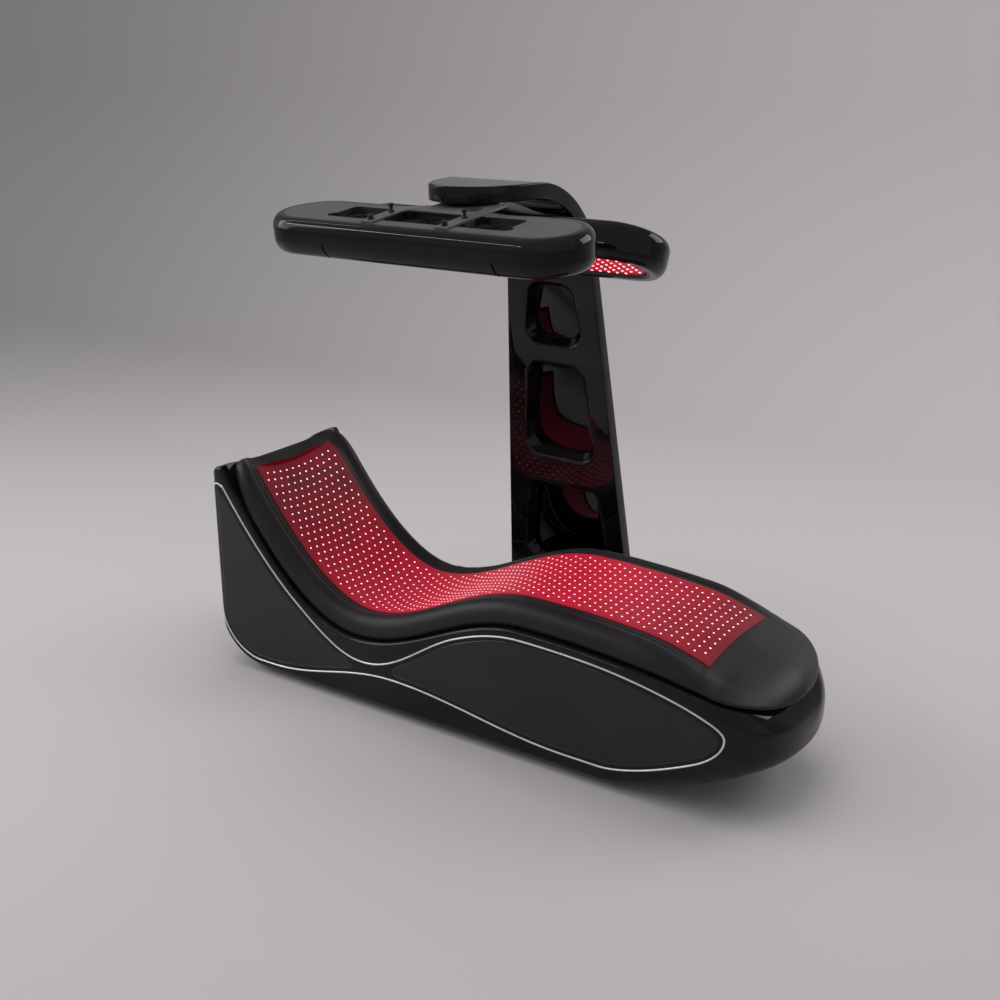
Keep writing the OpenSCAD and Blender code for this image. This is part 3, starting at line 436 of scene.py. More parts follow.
# ----------------------------------------
# Trim: a pale silver strip of rounded section, pressed into the lacquer on
# each side, in one loop round the two panels.
trim_w, trim_out, trim_drop, heel_trim_r = 6, 4, 24, 184
low_head_z, low_waist_z, low_knee_z, waist_x, low_waist_x = 50, 136, 73, -350, -265
waist_drop, waist_run, end_drop, low_run, belly_lift = 50, 340, 33, 665, 104
rear_x, apex_r, apex_z, rear_top_x = head_x + 11, 22, 665, head_x + 58
low_start_x = rear_x + heel_trim_r + 50
tip_x, tip_z, up_end_x, low_end_x = foot_x - 142, 276, foot_x - 290, foot_x - 230


def trim_up(x, m=0):
    """Upper trim line, moved down by m square to itself.

    It follows the deck and falls away at the waist and at both ends.
    """

    def line(x):
        waist = waist_drop * (1 - ease(np.abs(x - waist_x) / waist_run))
        end = np.maximum(0, np.maximum(-720 - x, (x - 450) * 0.62)) / 300
        return deck(x) - trim_drop - waist - end_drop * end**2

    return line(x) - m * np.hypot(1, line(x + 0.5) - line(x - 0.5))


def trim_low(x, m=0):
    """Lower trim line, moved up by m: two eased steps and a rising belly."""

    def line(x):
        climb = ease((x - head_x - 240) / (low_waist_x - head_x - 240))
        rise = low_head_z + (low_waist_z - low_head_z) * climb
        drop = ease((x - low_waist_x) / low_run)
        fall = low_waist_z - (low_waist_z - low_knee_z) * drop
        fall = fall + belly_lift * (np.maximum(0, x - belly_x) / 300) ** 1.5
        return np.where(x < low_waist_x, rise, fall)

    return line(x) + m * np.hypot(1, line(x + 0.5) - line(x - 0.5))


def nose_curve(x0, line, m, t):
    """Quadratic curve from a trim line's end to the tip's upright tangent."""
    start = np.array([x0, line(np.float64(x0), m)])
    slope = line(np.float64(x0), m) - line(np.float64(x0 - 1), m)
    turn_at = np.array([tip_x - m, start[1] + slope * (tip_x - m - x0)])
    end = np.array([tip_x - m, tip_z])
    t = t[:, None]
    return (1 - t) ** 2 * start + 2 * t * (1 - t) * turn_at + t**2 * end


def arc(cx, cz, r, a0, a1, n):
    """Points on a circle's arc, in degrees."""
    a = np.radians(np.linspace(a0, a1, n))
    return np.stack([cx + r * np.cos(a), cz + r * np.sin(a)], -1)


def rear_bend(m):
    """Heel arc and apex arc of the loop, drawn in by m."""
    heel_x, heel_z = rear_x + heel_trim_r, low_head_z + heel_trim_r
    heel = arc(heel_x, heel_z, heel_trim_r - m, 270, 180, 40)
    apex = arc(rear_x + apex_r, apex_z, apex_r - m, 180, 65, 20)
    return heel, apex


def trim_loop(m):
    """The whole loop in side view: rear, upper line, nose, lower line."""
    heel, apex = rear_bend(m)
    up_x = np.linspace(rear_top_x, up_end_x, 150)
    low_x = np.linspace(low_end_x, low_start_x, 140)
    t = np.linspace(0, 1, 26)
    return np.concatenate(
        [
            heel,
            np.linspace(heel[-1], apex[0], 40)[1:-1],
            apex,
            np.linspace(apex[-1], [up_x[0], trim_up(up_x[0], m)], 6)[1:-1],
            np.stack([up_x, trim_up(up_x, m)], -1),
            nose_curve(up_end_x, trim_up, m, t)[1:],
            nose_curve(low_end_x, trim_low, m, t[::-1])[1:-1],
            np.stack([low_x, trim_low(low_x, m)], -1),
        ]
    )


def on_side(flat, out, side):
    """Lays side-view points on the side wall, out square from it."""
    y = side * (body_half(flat[..., 0]) + out)
    return np.stack([flat[..., 0], y, flat[..., 1]], -1)


silver, root, bsdf = finish("satin_silver", (0.80, 0.79, 0.80), 0.3, Metallic=0.75)
rub = spread(root, noise(root, 26, 4, (0.3, 1, 1)), 0.35, 0.7)
feed(
    bsdf,
    Roughness=rub * 0.14 + 0.26,
    Base_Color=rub.blend((0.74, 0.72, 0.73), (0.86, 0.85, 0.86)),
    Normal=bump(root, noise(root, 900, 2, (0.05, 1, 1)), 0.25, 0.0002),
)
outer, inner = trim_loop(0), trim_loop(trim_w)
round_a = np.linspace(0, np.pi, 11)
across = ((1 - np.cos(round_a)) / 2)[:, None, None]
strip = outer + (inner - outer) * across
stand = trim_out * np.sin(round_a) ** 0.7
seat = outer + (inner - outer) * np.array([1.0, 0.0])[:, None, None]
for side, word in sides:
    rows = [on_side(strip, stand[:, None], side), on_side(seat, -1.0, side)]
    make(
        f"{word}_trim_strip",
        [(np.concatenate(rows), True, True)],
        silver,
        instead=[f"{word}_trim"],
    )

# ----------------------------------------
# Side panels: two a side, of high-gloss black sheet, bonded to the shell
# inside the trim, with rounded edges and round ends at the waist.
panel_m, panel_out, edge_r, tip_reach = 18, 2, 5, 26
panel_gloss = lacquer(
    "panel_high_gloss", (0.0028, 0.0028, 0.0032), 0.3, 0.008, 0.02, shine=1.5
)


def panel(name, x, low, up, side):
    """A panel from its lower and upper line over x.

    Rows run up it; its face rises from the wall within edge_r of its rim.
    """
    ramp = np.array([0, 0.15, 0.5, 1.0, 1.0])
    near = np.array([0, 0.3, 1.4, edge_r, 11.0])
    height = np.maximum(up - low, 0.02)[:, None]
    step = np.minimum(near[None, :], height * 0.5 * near / near[-1])
    mid = np.linspace(0, 1, 15)[None, 1:-1]
    z0, z1 = low[:, None] + step, up[:, None] - step[:, ::-1]
    middle = z0[:, -1:] + (z1[:, :1] - z0[:, -1:]) * mid
    z = np.concatenate([z0, middle, z1], 1)
    rise = np.concatenate([ramp, np.ones(13), ramp[::-1]])[None, :]
    from_end = np.minimum(x - x[0], x[-1] - x)[:, None]
    rise = rise * np.clip(from_end / edge_r, 0, 1) ** 0.5
    flat = np.stack([x[:, None] + 0 * z, z], -1)
    face = on_side(flat, -0.4 + (panel_out + 0.4) * rise, side)
    back = on_side(flat, -0.8 + 0 * z, side)
    grids = [(face, False, False), (back, False, False)]
    make(f"{name}_sheet", grids, panel_gloss, instead=[name], crisp=50)


def rear_height(x, m):
    """Lower and upper line near the rear, through the heel and apex arcs."""
    r = heel_trim_r - m
    cx = rear_x + heel_trim_r
    rise = np.sqrt(np.clip(r**2 - np.minimum(x - cx, 0) ** 2, 0, None))
    heel = low_head_z + heel_trim_r - rise
    low = np.where(x < cx, heel, trim_low(x, m))
    _, apex = rear_bend(m)
    edge = np.concatenate([apex, [[rear_top_x, trim_up(np.float64(rear_top_x), m)]]])
    order = np.argsort(edge[:, 0])
    near = np.interp(x, edge[order, 0], edge[order, 1])
    return low, np.where(x < rear_top_x, near, trim_up(x, m))


def ease_steps(a, b, n):
    """Stations from a to b, close together at both."""
    return a + (b - a) * (1 - np.cos(np.linspace(0, np.pi, n))) / 2


def close_tip(x, low, up, tip, way):
    """Rounds a panel's waist end by half an ellipse up to the tip."""
    u = np.clip((tip + way * tip_reach - x) * way / tip_reach, 0, 1)
    mid = (low + up) / 2
    half = (up - low) / 2 * np.sqrt(np.clip(1 - (1 - u) ** 2, 0, 1))
    return mid - half, mid + half


head_tip, foot_tip = seat_x - 30, seat_x + 190
back_x = ease_steps(rear_x + panel_m + 0.05, head_tip + tip_reach, 150)
back_low, back_up = rear_height(back_x, panel_m)
back_low, back_up = close_tip(back_x, back_low, back_up, head_tip, 1)
bow_x = ease_steps(foot_tip - tip_reach, tip_x - panel_m, 180)
t_line = np.linspace(0, 1, 60)
up_nose = nose_curve(up_end_x, trim_up, panel_m, t_line)
low_nose = nose_curve(low_end_x, trim_low, panel_m, t_line)
bow_up, nose_up = trim_up(bow_x, panel_m), np.interp(bow_x, *up_nose.T)
bow_up = np.where(bow_x < up_end_x, bow_up, nose_up)
bow_low, nose_low = trim_low(bow_x, panel_m), np.interp(bow_x, *low_nose.T)
bow_low = np.where(bow_x < low_end_x, bow_low, nose_low)
bow_low, bow_up = close_tip(bow_x, bow_low, bow_up, foot_tip, -1)
for side, word in sides:
    panel(f"{word}_head_panel", back_x, back_low, back_up, side)
    panel(f"{word}_foot_panel", bow_x, bow_low, bow_up, side)

# ----------------------------------------
# Under the body: a steel pan over a welded chassis, rubber levelling feet,
# the electrical boxes on the rails, and the tower's base, bolts and frame.


def dress(node, material, edge):
    """Gives a CAD node its material and, where edge is set, round edges."""
    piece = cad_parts[node]
    piece.data.materials.clear()
    piece.data.materials.append(material)
    piece.data.polygons.foreach_set("use_smooth", [edge > 0] * len(piece.data.polygons))
    if edge:
        weld = piece.modifiers.new("weld", "WELD")
        weld.merge_threshold = 2e-5
        flat = piece.modifiers.new("flat", "DECIMATE")
        flat.decimate_type, flat.angle_limit = "DISSOLVE", math.radians(1)
        bevel = piece.modifiers.new("edge", "BEVEL")
        bevel.width, bevel.segments = edge * 0.001, 2
        bevel.limit_method, bevel.angle_limit = "ANGLE", math.radians(35)
        bevel.harden_normals = True


def metal(name, tone, rough, metallic=1.0, grain=400):
    """Painted or plated steel: faint blotches and a fine surface grain."""
    material, root, bsdf = finish(name, tone, rough, Metallic=metallic)
    patch = spread(root, noise(root, 9, 5), 0.35, 0.68)
    feed(
        bsdf,
        Roughness=patch * 0.16 + (rough - 0.08),
        Base_Color=patch.blend(tuple(0.8 * c for c in tone), tone),
        Normal=bump(root, noise(root, grain, 3), 0.3, 0.0002),
    )
    return material


def cells(root, scale, smooth=1.0):
    """Rounded cells on Object coordinates: scale is cells in a metre."""
    sockets = {"Vector": object_at(root), "Scale": scale, "Smoothness": smooth}
    return root.node("ShaderNodeTexVoronoi", {"feature": "SMOOTH_F1"}, sockets)


def moulded(name, tone, rough, grain=700, depth=0.35):
    """Moulded plastic or rubber: a fine spark-eroded texture."""
    material, root, bsdf = finish(name, tone, rough, Specular_IOR_Level=0.42)
    dust = spread(root, noise(root, 14, 4), 0.45, 0.7)
    cell = cells(root, grain)
    feed(
        bsdf,
        Roughness=dust * 0.12 + rough,
        Base_Color=dust.blend(tone, tuple(1.5 * c + 0.003 for c in tone)),
        Normal=bump(root, cell, depth, 0.00025),
    )
    return material


dark_steel = metal("painted_dark_steel", (0.045, 0.045, 0.05), 0.5, 0.4)
matte_black = moulded("matte_black_coat", (0.014, 0.014, 0.015), 0.52)
foot_rubber = moulded("foot_rubber", (0.018, 0.018, 0.018), 0.72, 420, 0.5)
raw_aluminium = metal("raw_aluminium", (0.55, 0.56, 0.58), 0.34)
inlet_plastic = moulded("inlet_plastic", (0.02, 0.02, 0.021), 0.38)
rocker_red = moulded("rocker_red", (0.42, 0.012, 0.014), 0.3)
bright_steel = metal("bright_steel", (0.62, 0.62, 0.64), 0.24)
for node, material, edge in (
    ("base_pan", matte_black, 0.8),
    ("chassis_frame", dark_steel, 0),
    ("levelling_feet", foot_rubber, 1.2),
    ("power_supplies", raw_aluminium, 0),
    ("control_box", matte_black, 0),
    ("mains_inlet", inlet_plastic, 0.6),
    ("rocker_switch", rocker_red, 0.5),
    ("tower_base", matte_black, 1.5),
    ("tower_bolts", bright_steel, 0.6),
    ("tower_frame", dark_steel, 0),
):
    dress(node, material, edge)

# ----------------------------------------
# Mattress: foam in black leatherette, thick along each side and hollowed
# where one lies, level at the head end and overhanging at the foot.
# A welted seam runs inside each crest.
pad_head, pad_foot, pad_nose_l, pad_t, lay = head_x + 45, foot_x - 20, 185, 80, 0.4
pad_round, pad_corner, head_end_r, foot_end_r = 130, 90, 34, 56
pad_nose_x, pad_hw, mat_half_w, mat_part = pad_foot - pad_nose_l, 294, 205, 0.69
head_level, foot_in, crest_in, pinch = 757, 16, 64, 120
crown_deep, crown_x, crown_t, shallow, deeper = 44, 600, 62, 12, 24


def pad_half(x):
    """Half width: a superellipse at the foot, a large arc at the head."""
    u = np.clip((x - pad_nose_x) / pad_nose_l, 0, 1)
    v = np.clip((pad_head + pad_round - x) / pad_round, 0, 1)
    round_off = pad_corner * arc_drop(v)
    return pad_hw * np.sqrt(1 - u**2) - round_off


def pad_base(x):
    """Height of the pad's underside edge."""
    over = deck(x) - 0.35 * (deck(x) - body_top(x))
    return np.where(x > tail_x, over, body_top(x))


def pad_rise(x):
    """Thickness, a soft minimum of the foam's and of the level head end's."""
    slope = (deck(x + 4) - deck(x - 4)) / 8
    foam = pad_t * (1 + slope**2) ** 0.35
    level = np.where(x < seat_x, np.maximum(head_level - body_top(x), 14), 240)
    soft = foam * level / (foam**5 + level**5) ** 0.2
    thin = 1 - 0.2 * np.clip((x - pad_nose_x) / pad_nose_l, 0, 1) ** 3
    return soft * (1 - 0.4 * ease((x - 750) / 200)) * thin


def mat_half(x):
    """Half width of the lit mat."""
    p = pad_half(x)
    inner = np.minimum(mat_part * p, p - crest_in * np.minimum(1, p / pinch) - 4)
    return np.minimum(mat_half_w, inner)


def sink(x, y):
    """How far the lying surface lies below the crests, a parabola over y."""
    hollow = shallow + deeper * ease((knee_x - x) / 1160) ** 0.8
    hollow = np.minimum(hollow, 0.6 * pad_rise(x)) * (1 - ease((x - 770) / 190))
    u = np.clip(np.abs(y) * mat_part / np.maximum(mat_half(x), 1e-3), 0, 1)
    return (hollow + 0.7 * rim_dip(x)) * (1 - u**2)


def crown(x, y):
    """How far the foot end's top falls away from its middle line at y."""
    u = np.clip(np.abs(y) / np.maximum(pad_half(x), 1), 0, 1)
    return crown_deep * ease((x - crown_x) / 260) * u**1.6


def clear(x):
    """The pad's clearance over the deck."""
    return lay + np.where(x > nose_x, 1.2, np.minimum(1.2, 0.2 * rim_dip(x)))


def lying_top(x, y):
    """Height of the lying surface."""
    on_pad = pad_base(x) + clear(x) + pad_rise(x) - sink(x, y)
    return on_pad - crown(x, y) * (pad_rise(x) / crown_t).clip(0, 1)


def corner_cut(line, rounds):
    """Rounds open polylines by cutting each corner at a quarter, repeatedly."""
    for _ in range(rounds):
        a, b = line[:, :-1], line[:, 1:]
        cut = np.stack([0.75 * a + 0.25 * b, 0.25 * a + 0.75 * b], 2)
        cut = cut.reshape(line.shape[0], -1, 2)
        line = np.concatenate([line[:, :1], cut[:, 1:-1], line[:, -1:]], 1)
    return line


def pad_section(x):
    """Closed sections: dipped underside, bulging sides, hollow top."""
    p, t = pad_half(x)[:, None], pad_rise(x)[:, None]
    q = np.minimum(1, p / pinch)
    in_y = np.array([[foot_in, 4, 0, 3, 12, 26, 44, crest_in]]) * q
    up = np.array([[0, 0.08, 0.26, 0.5, 0.74, 0.91, 1, 1]]) * t
    col = x[:, None]
    up[:, 0] = -deck_dip(col, p - foot_in * q)[:, 0]
    up[:, 7] -= sink(col, p - crest_in * q)[:, 0]
    side = corner_cut(np.stack([p - in_y, up], -1), 3)
    flat_y = np.linspace(0, 1, 9)[None, :-1] * (p - foot_in * q)
    under = np.stack([flat_y, -deck_dip(col, flat_y)], -1)
    top_y = np.linspace(1, 0, 22)[None, 1:] * (p - crest_in * q)
    top = np.stack([top_y, t - sink(col, top_y)], -1)
    half = np.concatenate([under, side, top], 1)
    part = (half[..., 1] / t).clip(0, 1) ** 1.5
    part[:, -top_y.shape[1] :] = 1
    half[..., 1] -= crown(col, half[..., 0]) * part * (t / crown_t).clip(0, 1)
    y, z = both_sides(half[..., 0], half[..., 1])
    z = z + (pad_base(x) + clear(x))[:, None]
    return np.stack([col + 0 * y, y, z], -1)


def capped(grid, rings):
    """A tube of closed sections with both ends drawn shut."""
    ends = [(pole(grid[k], rings), False, True) for k in (0, -1)]
    return [(grid, False, True), *ends]


def end_round(section, x, end, reach):
    """Draws sections in towards their middles by a quarter circle at an end."""
    u = np.clip(1 - np.abs(x - end) / reach, 0, 1)
    draw = (1 - np.sqrt(1 - np.clip(u, 0, 0.999) ** 2))[:, None]
    z = section[..., 2]
    top, low = z.max(1, keepdims=True), z.min(1, keepdims=True)
    half = (top - low) / 2
    section[..., 2] = z + (low + 0.8 * half - z) * draw * np.minimum(1, reach / half)
    narrow = np.minimum(1, 0.35 * reach / pad_half(x)[:, None].clip(20))
    section[..., 1] *= 1 - draw * narrow * (end < 0)
    return section


def folds(grid, x):
    """Soft waves in the cover where the pad bends, deepest on its sides."""
    bend = np.exp(-(((x - seat_x - 70) / 170) ** 2))
    bend += 0.5 * np.exp(-(((x - knee_x) / 260) ** 2))
    y = grid[..., 1]
    lean = x[:, None] + 0.35 * np.abs(y)
    wave = np.sin(lean / 13.0 + 1.7 * np.sin(lean / 47.0)) * np.sin(lean / 61.0 + 0.6)
    side = np.clip((np.abs(y) - 190) / 70, 0, 1)
    lift = np.clip((grid[..., 2] - grid[..., 2].min(1, keepdims=True)) / 50, 0, 1)
    grid[..., 2] += 0.9 * wave * bend[:, None] * side * lift
    return grid


soft_skin = {"Sheen_Weight": 0.03, "Specular_IOR_Level": 0.32}
leatherette, root, bsdf = finish(
    "black_leatherette", (0.009, 0.009, 0.010), 0.42, **soft_skin
)
pebble = cells(root, 520.0, 0.6)
crease = noise(root, 46, 4, (1, 0.6, 1))
worn = spread(root, noise(root, 5, 5), 0.42, 0.7)
feed(
    bsdf,
    Base_Color=worn.blend((0.006, 0.006, 0.0065), (0.013, 0.012, 0.013)),
    Roughness=worn * 0.10 + spread(root, pebble, 0, 0.8, 0.34, 0.44),
    Normal=bump(root, pebble * 0.8 + crease * 0.9, 0.28, 0.0006),
)
pad_x = np.concatenate(
    [
        pad_head + 12 * (1 - np.cos(np.linspace(0.0, np.pi / 2, 10)))[:-1],
        pad_head + 12 + np.linspace(0, 130, 26)[:-1],
        np.linspace(pad_head + 142, pad_nose_x - 4, 200),
        pad_nose_x + pad_nose_l * np.sin(np.linspace(0, np.pi / 2 - 0.012, 44)),
    ]
)
pad_grid = end_round(pad_section(pad_x), pad_x, pad_head, head_end_r)
pad_grid = folds(end_round(pad_grid, pad_x, pad_foot, foot_end_r), pad_x)
mattress = make(
    "mattress_leatherette",
    capped(pad_grid, 3),
    leatherette,
    instead=["mattress"],
    crisp=60,
)


def tube(path, r, sides=10):
    """A round tube along points: its rings stand square to the path."""
    way = np.gradient(path, axis=0)
    way /= np.linalg.norm(way, axis=1, keepdims=True)
    out = np.cross(way, np.array([0.0, 0.0, 1.0]))
    out /= np.linalg.norm(out, axis=1, keepdims=True)
    up = np.cross(out, way)
    a = np.linspace(0, 2 * np.pi, sides, endpoint=False)[None, :, None]
    r = np.broadcast_to(np.asarray(r, float).reshape(-1, 1, 1), (len(path), 1, 1))
    return path[:, None] + r * (out[:, None] * np.cos(a) + up[:, None] * np.sin(a))


seam_x = np.linspace(pad_head + 40, pad_nose_x + 20, 400)
seam_q = np.minimum(1, pad_half(seam_x) / pinch)
seam_y = pad_half(seam_x) - 66 * seam_q
seam_z = lying_top(seam_x, seam_y)
for side, word in sides:
    line = np.stack([seam_x, side * seam_y, seam_z + 0.2], -1)
    from_end = np.minimum(seam_x - seam_x[0], seam_x[-1] - seam_x)
    thick = 1.9 * np.minimum(1, from_end / 60 + 0.1)
    welt = [(tube(line, thick), False, True)]
    make(f"{word}_seam_welt", welt, leatherette, crisp=80)

# ----------------------------------------
# Lit mat: a thin silicone-faced textile sheet laid on the lying surface. Its
# colour and emission are painted light: the heads' red glow, brightest under
# them. Staggered rows of small lights stand in it.
mat_t, mat_x0, mat_x1, dot_pitch, dot_r, dot_h = 3, -947, 805, 32, 3.2, 0.9


def mat_top(x, y):
    """Height of the lit mat's upper face."""
    return lying_top(x, y) + lay + mat_t


mat_x = np.linspace(mat_x0, mat_x1, 170)
edge_a = np.linspace(0, np.pi, 7)[None, 1:-1]
mat_v = np.linspace(-1, 1, 33)[None, :]
col, wide = mat_x[:, None], mat_half(mat_x)[:, None] - mat_t / 2
top_y = mat_v * wide
edge_y = wide + mat_t / 2 * np.sin(edge_a)
edge_z = (np.cos(edge_a) - 1) * mat_t / 2
mat_y = np.concatenate([top_y, edge_y, -top_y, -edge_y[:, ::-1]], 1)
mat_z = np.concatenate(
    [
        mat_top(col, top_y),
        mat_top(col, wide) + edge_z,
        mat_top(col, top_y[:, ::-1]) - mat_t,
        mat_top(col, wide) + edge_z[:, ::-1],
    ],
    1,
)
mat_grid = np.stack([col + 0 * mat_y, mat_y, mat_z], -1)
# Painted glow: the cover is no lamp, yet it emits red light.
painted_glow_settings = {"Emission_Strength": 0.9, "Sheen_Weight": 0.04, "Specular_IOR_Level": 0.3}
mat_cover, root, bsdf = finish("lit_mat_cover", (0.10, 0.004, 0.006), 0.42, **painted_glow_settings)
knit = cells(root, 620.0, 0.5)
along = root.node("ShaderNodeSeparateXYZ", None, {"Vector": object_at(root)})
# painted_lamp_pool is 1 under the light heads, near x = 0.02 m, and 0 farther off. It
# paints their red light into the colour and the emission, with a little random tone
# mixed in.
away = root.math("ABSOLUTE", along - 0.02)
painted_lamp_pool = spread(root, away, 0.86, 0.3)
painted_glow_and_tone = painted_lamp_pool * 0.85 + spread(root, noise(root, 7, 2), 0.3, 0.7) * 0.15
feed(
    bsdf,
    Base_Color=painted_glow_and_tone.blend((0.03, 0.002, 0.003), (0.12, 0.004, 0.007)),
    Emission_Color=painted_glow_and_tone.blend((0.07, 0.001, 0.004), (0.46, 0.004, 0.028)),
    Roughness=spread(root, knit, 0, 0.8, 0.36, 0.52),
    Normal=bump(root, knit, 0.3, 0.0005),
)
sheet = capped(mat_grid, 1)
make("led_mat_sheet", sheet, mat_cover, instead=["led_mat"], crisp=60)


def domes(centres, normals, r, high, rings=3, sides=8):
    """A low dome at each place: rings of a half ellipse about its normal."""
    n = normals / np.linalg.norm(normals, axis=1, keepdims=True)
    u = np.cross(n, np.array([0.0, 1.0, 0.0]))
    u /= np.linalg.norm(u, axis=1, keepdims=True)
    v = np.cross(n, u)
    a = np.linspace(0, 2 * np.pi, sides, endpoint=False)
    b = np.linspace(0, np.pi / 2, rings + 1)[:-1]
    ring = r * np.cos(b)[:, None]
    flat_u = (ring * np.cos(a)).reshape(-1, 1)
    flat_v = (ring * np.sin(a)).reshape(-1, 1)
    lift = np.repeat(high * np.sin(b), sides)[:, None]
    shape = centres[:, None] + flat_u * u[:, None] + flat_v * v[:, None]
    shape = shape + lift * n[:, None]
    points = np.concatenate([shape, (centres + high * n)[:, None]], 1)
    one = quads(rings, sides, False, True)
    last = (rings - 1) * sides
    one += [[last + k, last + (k + 1) % sides, rings * sides] for k in range(sides)]
    one.append(list(range(sides))[::-1])
    step = rings * sides + 1
    faces = [[i + k * step for i in face] for k in range(len(centres)) for face in one]
    return points, faces


def lights(name, centres, normals, r, high, material, body, instead=()):
    """Many domes as one piece."""
    points, faces = domes(centres, normals, r, high)
    piece = new_piece(name, in_room(points), faces, material)
    mend(piece)
    soften(piece, 70)
    belong(piece, body, instead)


def glow(name, tone, core, strength):
    """A lit lens: its glow wanders between a red and a paler core colour."""
    material, root, bsdf = finish(name, tone, 0.25, Emission_Strength=strength)
    soft = spread(root, noise(root, 300, 2), 0.3, 0.7)
    feed(bsdf, Emission_Color=soft.blend(tone, core), Roughness=soft * 0.1 + 0.2)
    return material


along_x = np.linspace(mat_x0 + 26, mat_x1 - 20, 900)
slope = np.gradient(mat_top(along_x, 0 * along_x), along_x)
run = np.cumsum(np.sqrt(1 + slope[1:] ** 2) * np.diff(along_x))
run = np.concatenate([[0], run])
rows = np.interp(np.arange(0, run[-1], dot_pitch * 0.866), run, along_x)
places = []
for k, row in enumerate(rows):
    reach = mat_half(np.float64(row)) - 14
    cols = (np.arange(-8, 9) + (k % 2) / 2) * dot_pitch
    places += [(row, y) for y in cols[np.abs(cols) < reach]]
dot_x, dot_y = np.array(places).T
dx = (mat_top(dot_x + 2, dot_y) - mat_top(dot_x - 2, dot_y)) / 4
dy = (mat_top(dot_x, dot_y + 2) - mat_top(dot_x, dot_y - 2)) / 4
on_mat = np.stack([dot_x, dot_y, mat_top(dot_x, dot_y)], -1)
square = np.stack([-dx, -dy, np.ones(len(dot_x))], -1)
mat_dot = glow("mat_light", (1.0, 0.16, 0.20), (1.0, 0.66, 0.70), 2.6)
lights("mat_lights", on_mat, square, dot_r, dot_h, mat_dot, "base")

# ----------------------------------------
# Tower: one ribbon of gloss black shell that leans back, bends over the bed
# and ends in a round tip. Three windows are moulded into its face, and a
# cover closes its back.
swell_y0, swell_y1, ribbon_edge = -60, 150, 5
tower_x, tower_y, lean = -145, 660, math.radians(8)
ribbon_t, bend_r, bend_cz, base_z, tip_r, wall = 50, 370, 1326, 21, 137, 8
floor_hw, bend_hw, frame_w, window_r, hub_r = 272, 170, 78, 58, 82.4
half_t = ribbon_t / 2
bend_z = bend_cz + bend_r * math.sin(lean)
bend_cy = tower_y - bend_z * math.tan(lean) - bend_r * math.cos(lean)
arm_z = bend_cz + bend_r - half_t


def ribbon_path():
    """Stations on the middle line as y, z and the normal out of the bend.

    A leaning straight, an arc and a level arm whose stations crowd together
    towards the round tip.
    """
    up = np.linspace(0, 1, 60)[:-1, None]
    foot = np.array([tower_y - base_z * math.tan(lean), base_z])
    knee_y, knee_z = bend_r * math.cos(lean), bend_r * math.sin(lean)
    knee = np.array([bend_cy + knee_y, bend_cz + knee_z])
    straight = foot + (knee - foot) * up
    a = np.linspace(lean, np.pi / 2, 48)
    bend = np.stack([bend_cy + bend_r * np.cos(a), bend_cz + bend_r * np.sin(a)], -1)
    arm = np.concatenate(
        [
            np.linspace(bend_cy, 2, 26)[1:],
            -(tip_r - wall) * np.sin(np.linspace(0, np.pi / 2 - 0.03, 30)),
            [-(tip_r - wall)],
            -tip_r * np.cos(np.linspace(0.33, 0, 12)),
        ]
    )
    arm = np.stack([arm, bend_cz + bend_r + 0 * arm], -1)
    line = np.concatenate([straight, bend, arm])
    turn = np.concatenate([np.full(59, lean), a, np.full(len(arm), np.pi / 2)])
    return line, np.stack([np.cos(turn), np.sin(turn)], -1)


def ribbon_half(line, m):
    """Half width drawn in by m: a round tip, a swell to the arm, a taper.

    The swell is a cubic curve with the slopes of its two neighbours.
    """
    y, z = line.T
    front = floor_hw - (floor_hw - bend_hw) * np.minimum(z / bend_z, 1) - m
    tip = np.sqrt(np.clip((tip_r - m) ** 2 - np.minimum(y, 0) ** 2, 0, None))
    t = np.clip((y - swell_y0) / (swell_y1 - swell_y0), 0, 1)
    start = math.sqrt((tip_r - m) ** 2 - swell_y0**2)
    swell = (1 + 2 * t) * (1 - t) ** 2 * start + t**2 * (3 - 2 * t) * (bend_hw - m)
    swell += t * (1 - t) ** 2 * (swell_y1 - swell_y0) * -swell_y0 / start
    return np.where(y < swell_y0, tip, np.where(t < 1, swell, front))


def ribbon_grid(section):
    """Carries sections (half widths and offsets) along the middle line.

    The first station is sheared level, so that the foot stands flat.
    """
    across, out = section
    place = line[:, None] + normal[:, None] * out[..., None]
    place[0, :, 0] = line[0, 0] + out[0] / math.cos(lean)
    place[0, :, 1] = base_z
    return np.stack([tower_x + across, place[..., 0], place[..., 1]], -1)


line, normal = ribbon_path()
hw, hw_in = ribbon_half(line, 0), ribbon_half(line, wall)
deep = np.where(hw_in > 0.5, 4.5, 0.0)[:, None]
corner = np.linspace(0, np.pi / 2, 6)[None, :]
w = hw[:, None]
round_e = np.minimum(ribbon_edge, 0.5 * w)
flat = np.linspace(0, 1, 10)[None, :-1]
w_in = np.maximum(hw_in, 0)[:, None]
right_x = np.concatenate(
    [
        flat * (w - round_e),
        w - round_e + round_e * np.sin(corner),
        w - round_e + round_e * np.cos(corner),
        w_in,
        w_in,
        w_in * flat[:, ::-1],
    ],
    1,
)
right_o = np.concatenate(
    [
        -half_t + 0 * flat * w,
        -half_t + round_e * (1 - np.cos(corner)),
        half_t - round_e * (1 - np.sin(corner)),
        half_t + 0 * w,
        half_t - deep,
        half_t - deep + 0 * flat,
    ],
    1,
)
left_x, both_o = both_sides(right_x, right_o)
ribbon = ribbon_grid((-left_x, both_o))
tower = make(
    "tower_ribbon_shell",
    [(ribbon, False, True), (pole(ribbon[0], 2), False, True)],
    gloss_black,
    instead=["tower_shell"],
)


def on_tower(points):
    """From the tower's leaning face (across, up, depth) to the bed's frame."""
    a, up, depth = points[..., 0], points[..., 1], points[..., 2]
    y = depth * math.cos(lean) - up * math.sin(lean)
    z = depth * math.sin(lean) + up * math.cos(lean)
    return np.stack([tower_x + a, tower_y + y, z], -1)


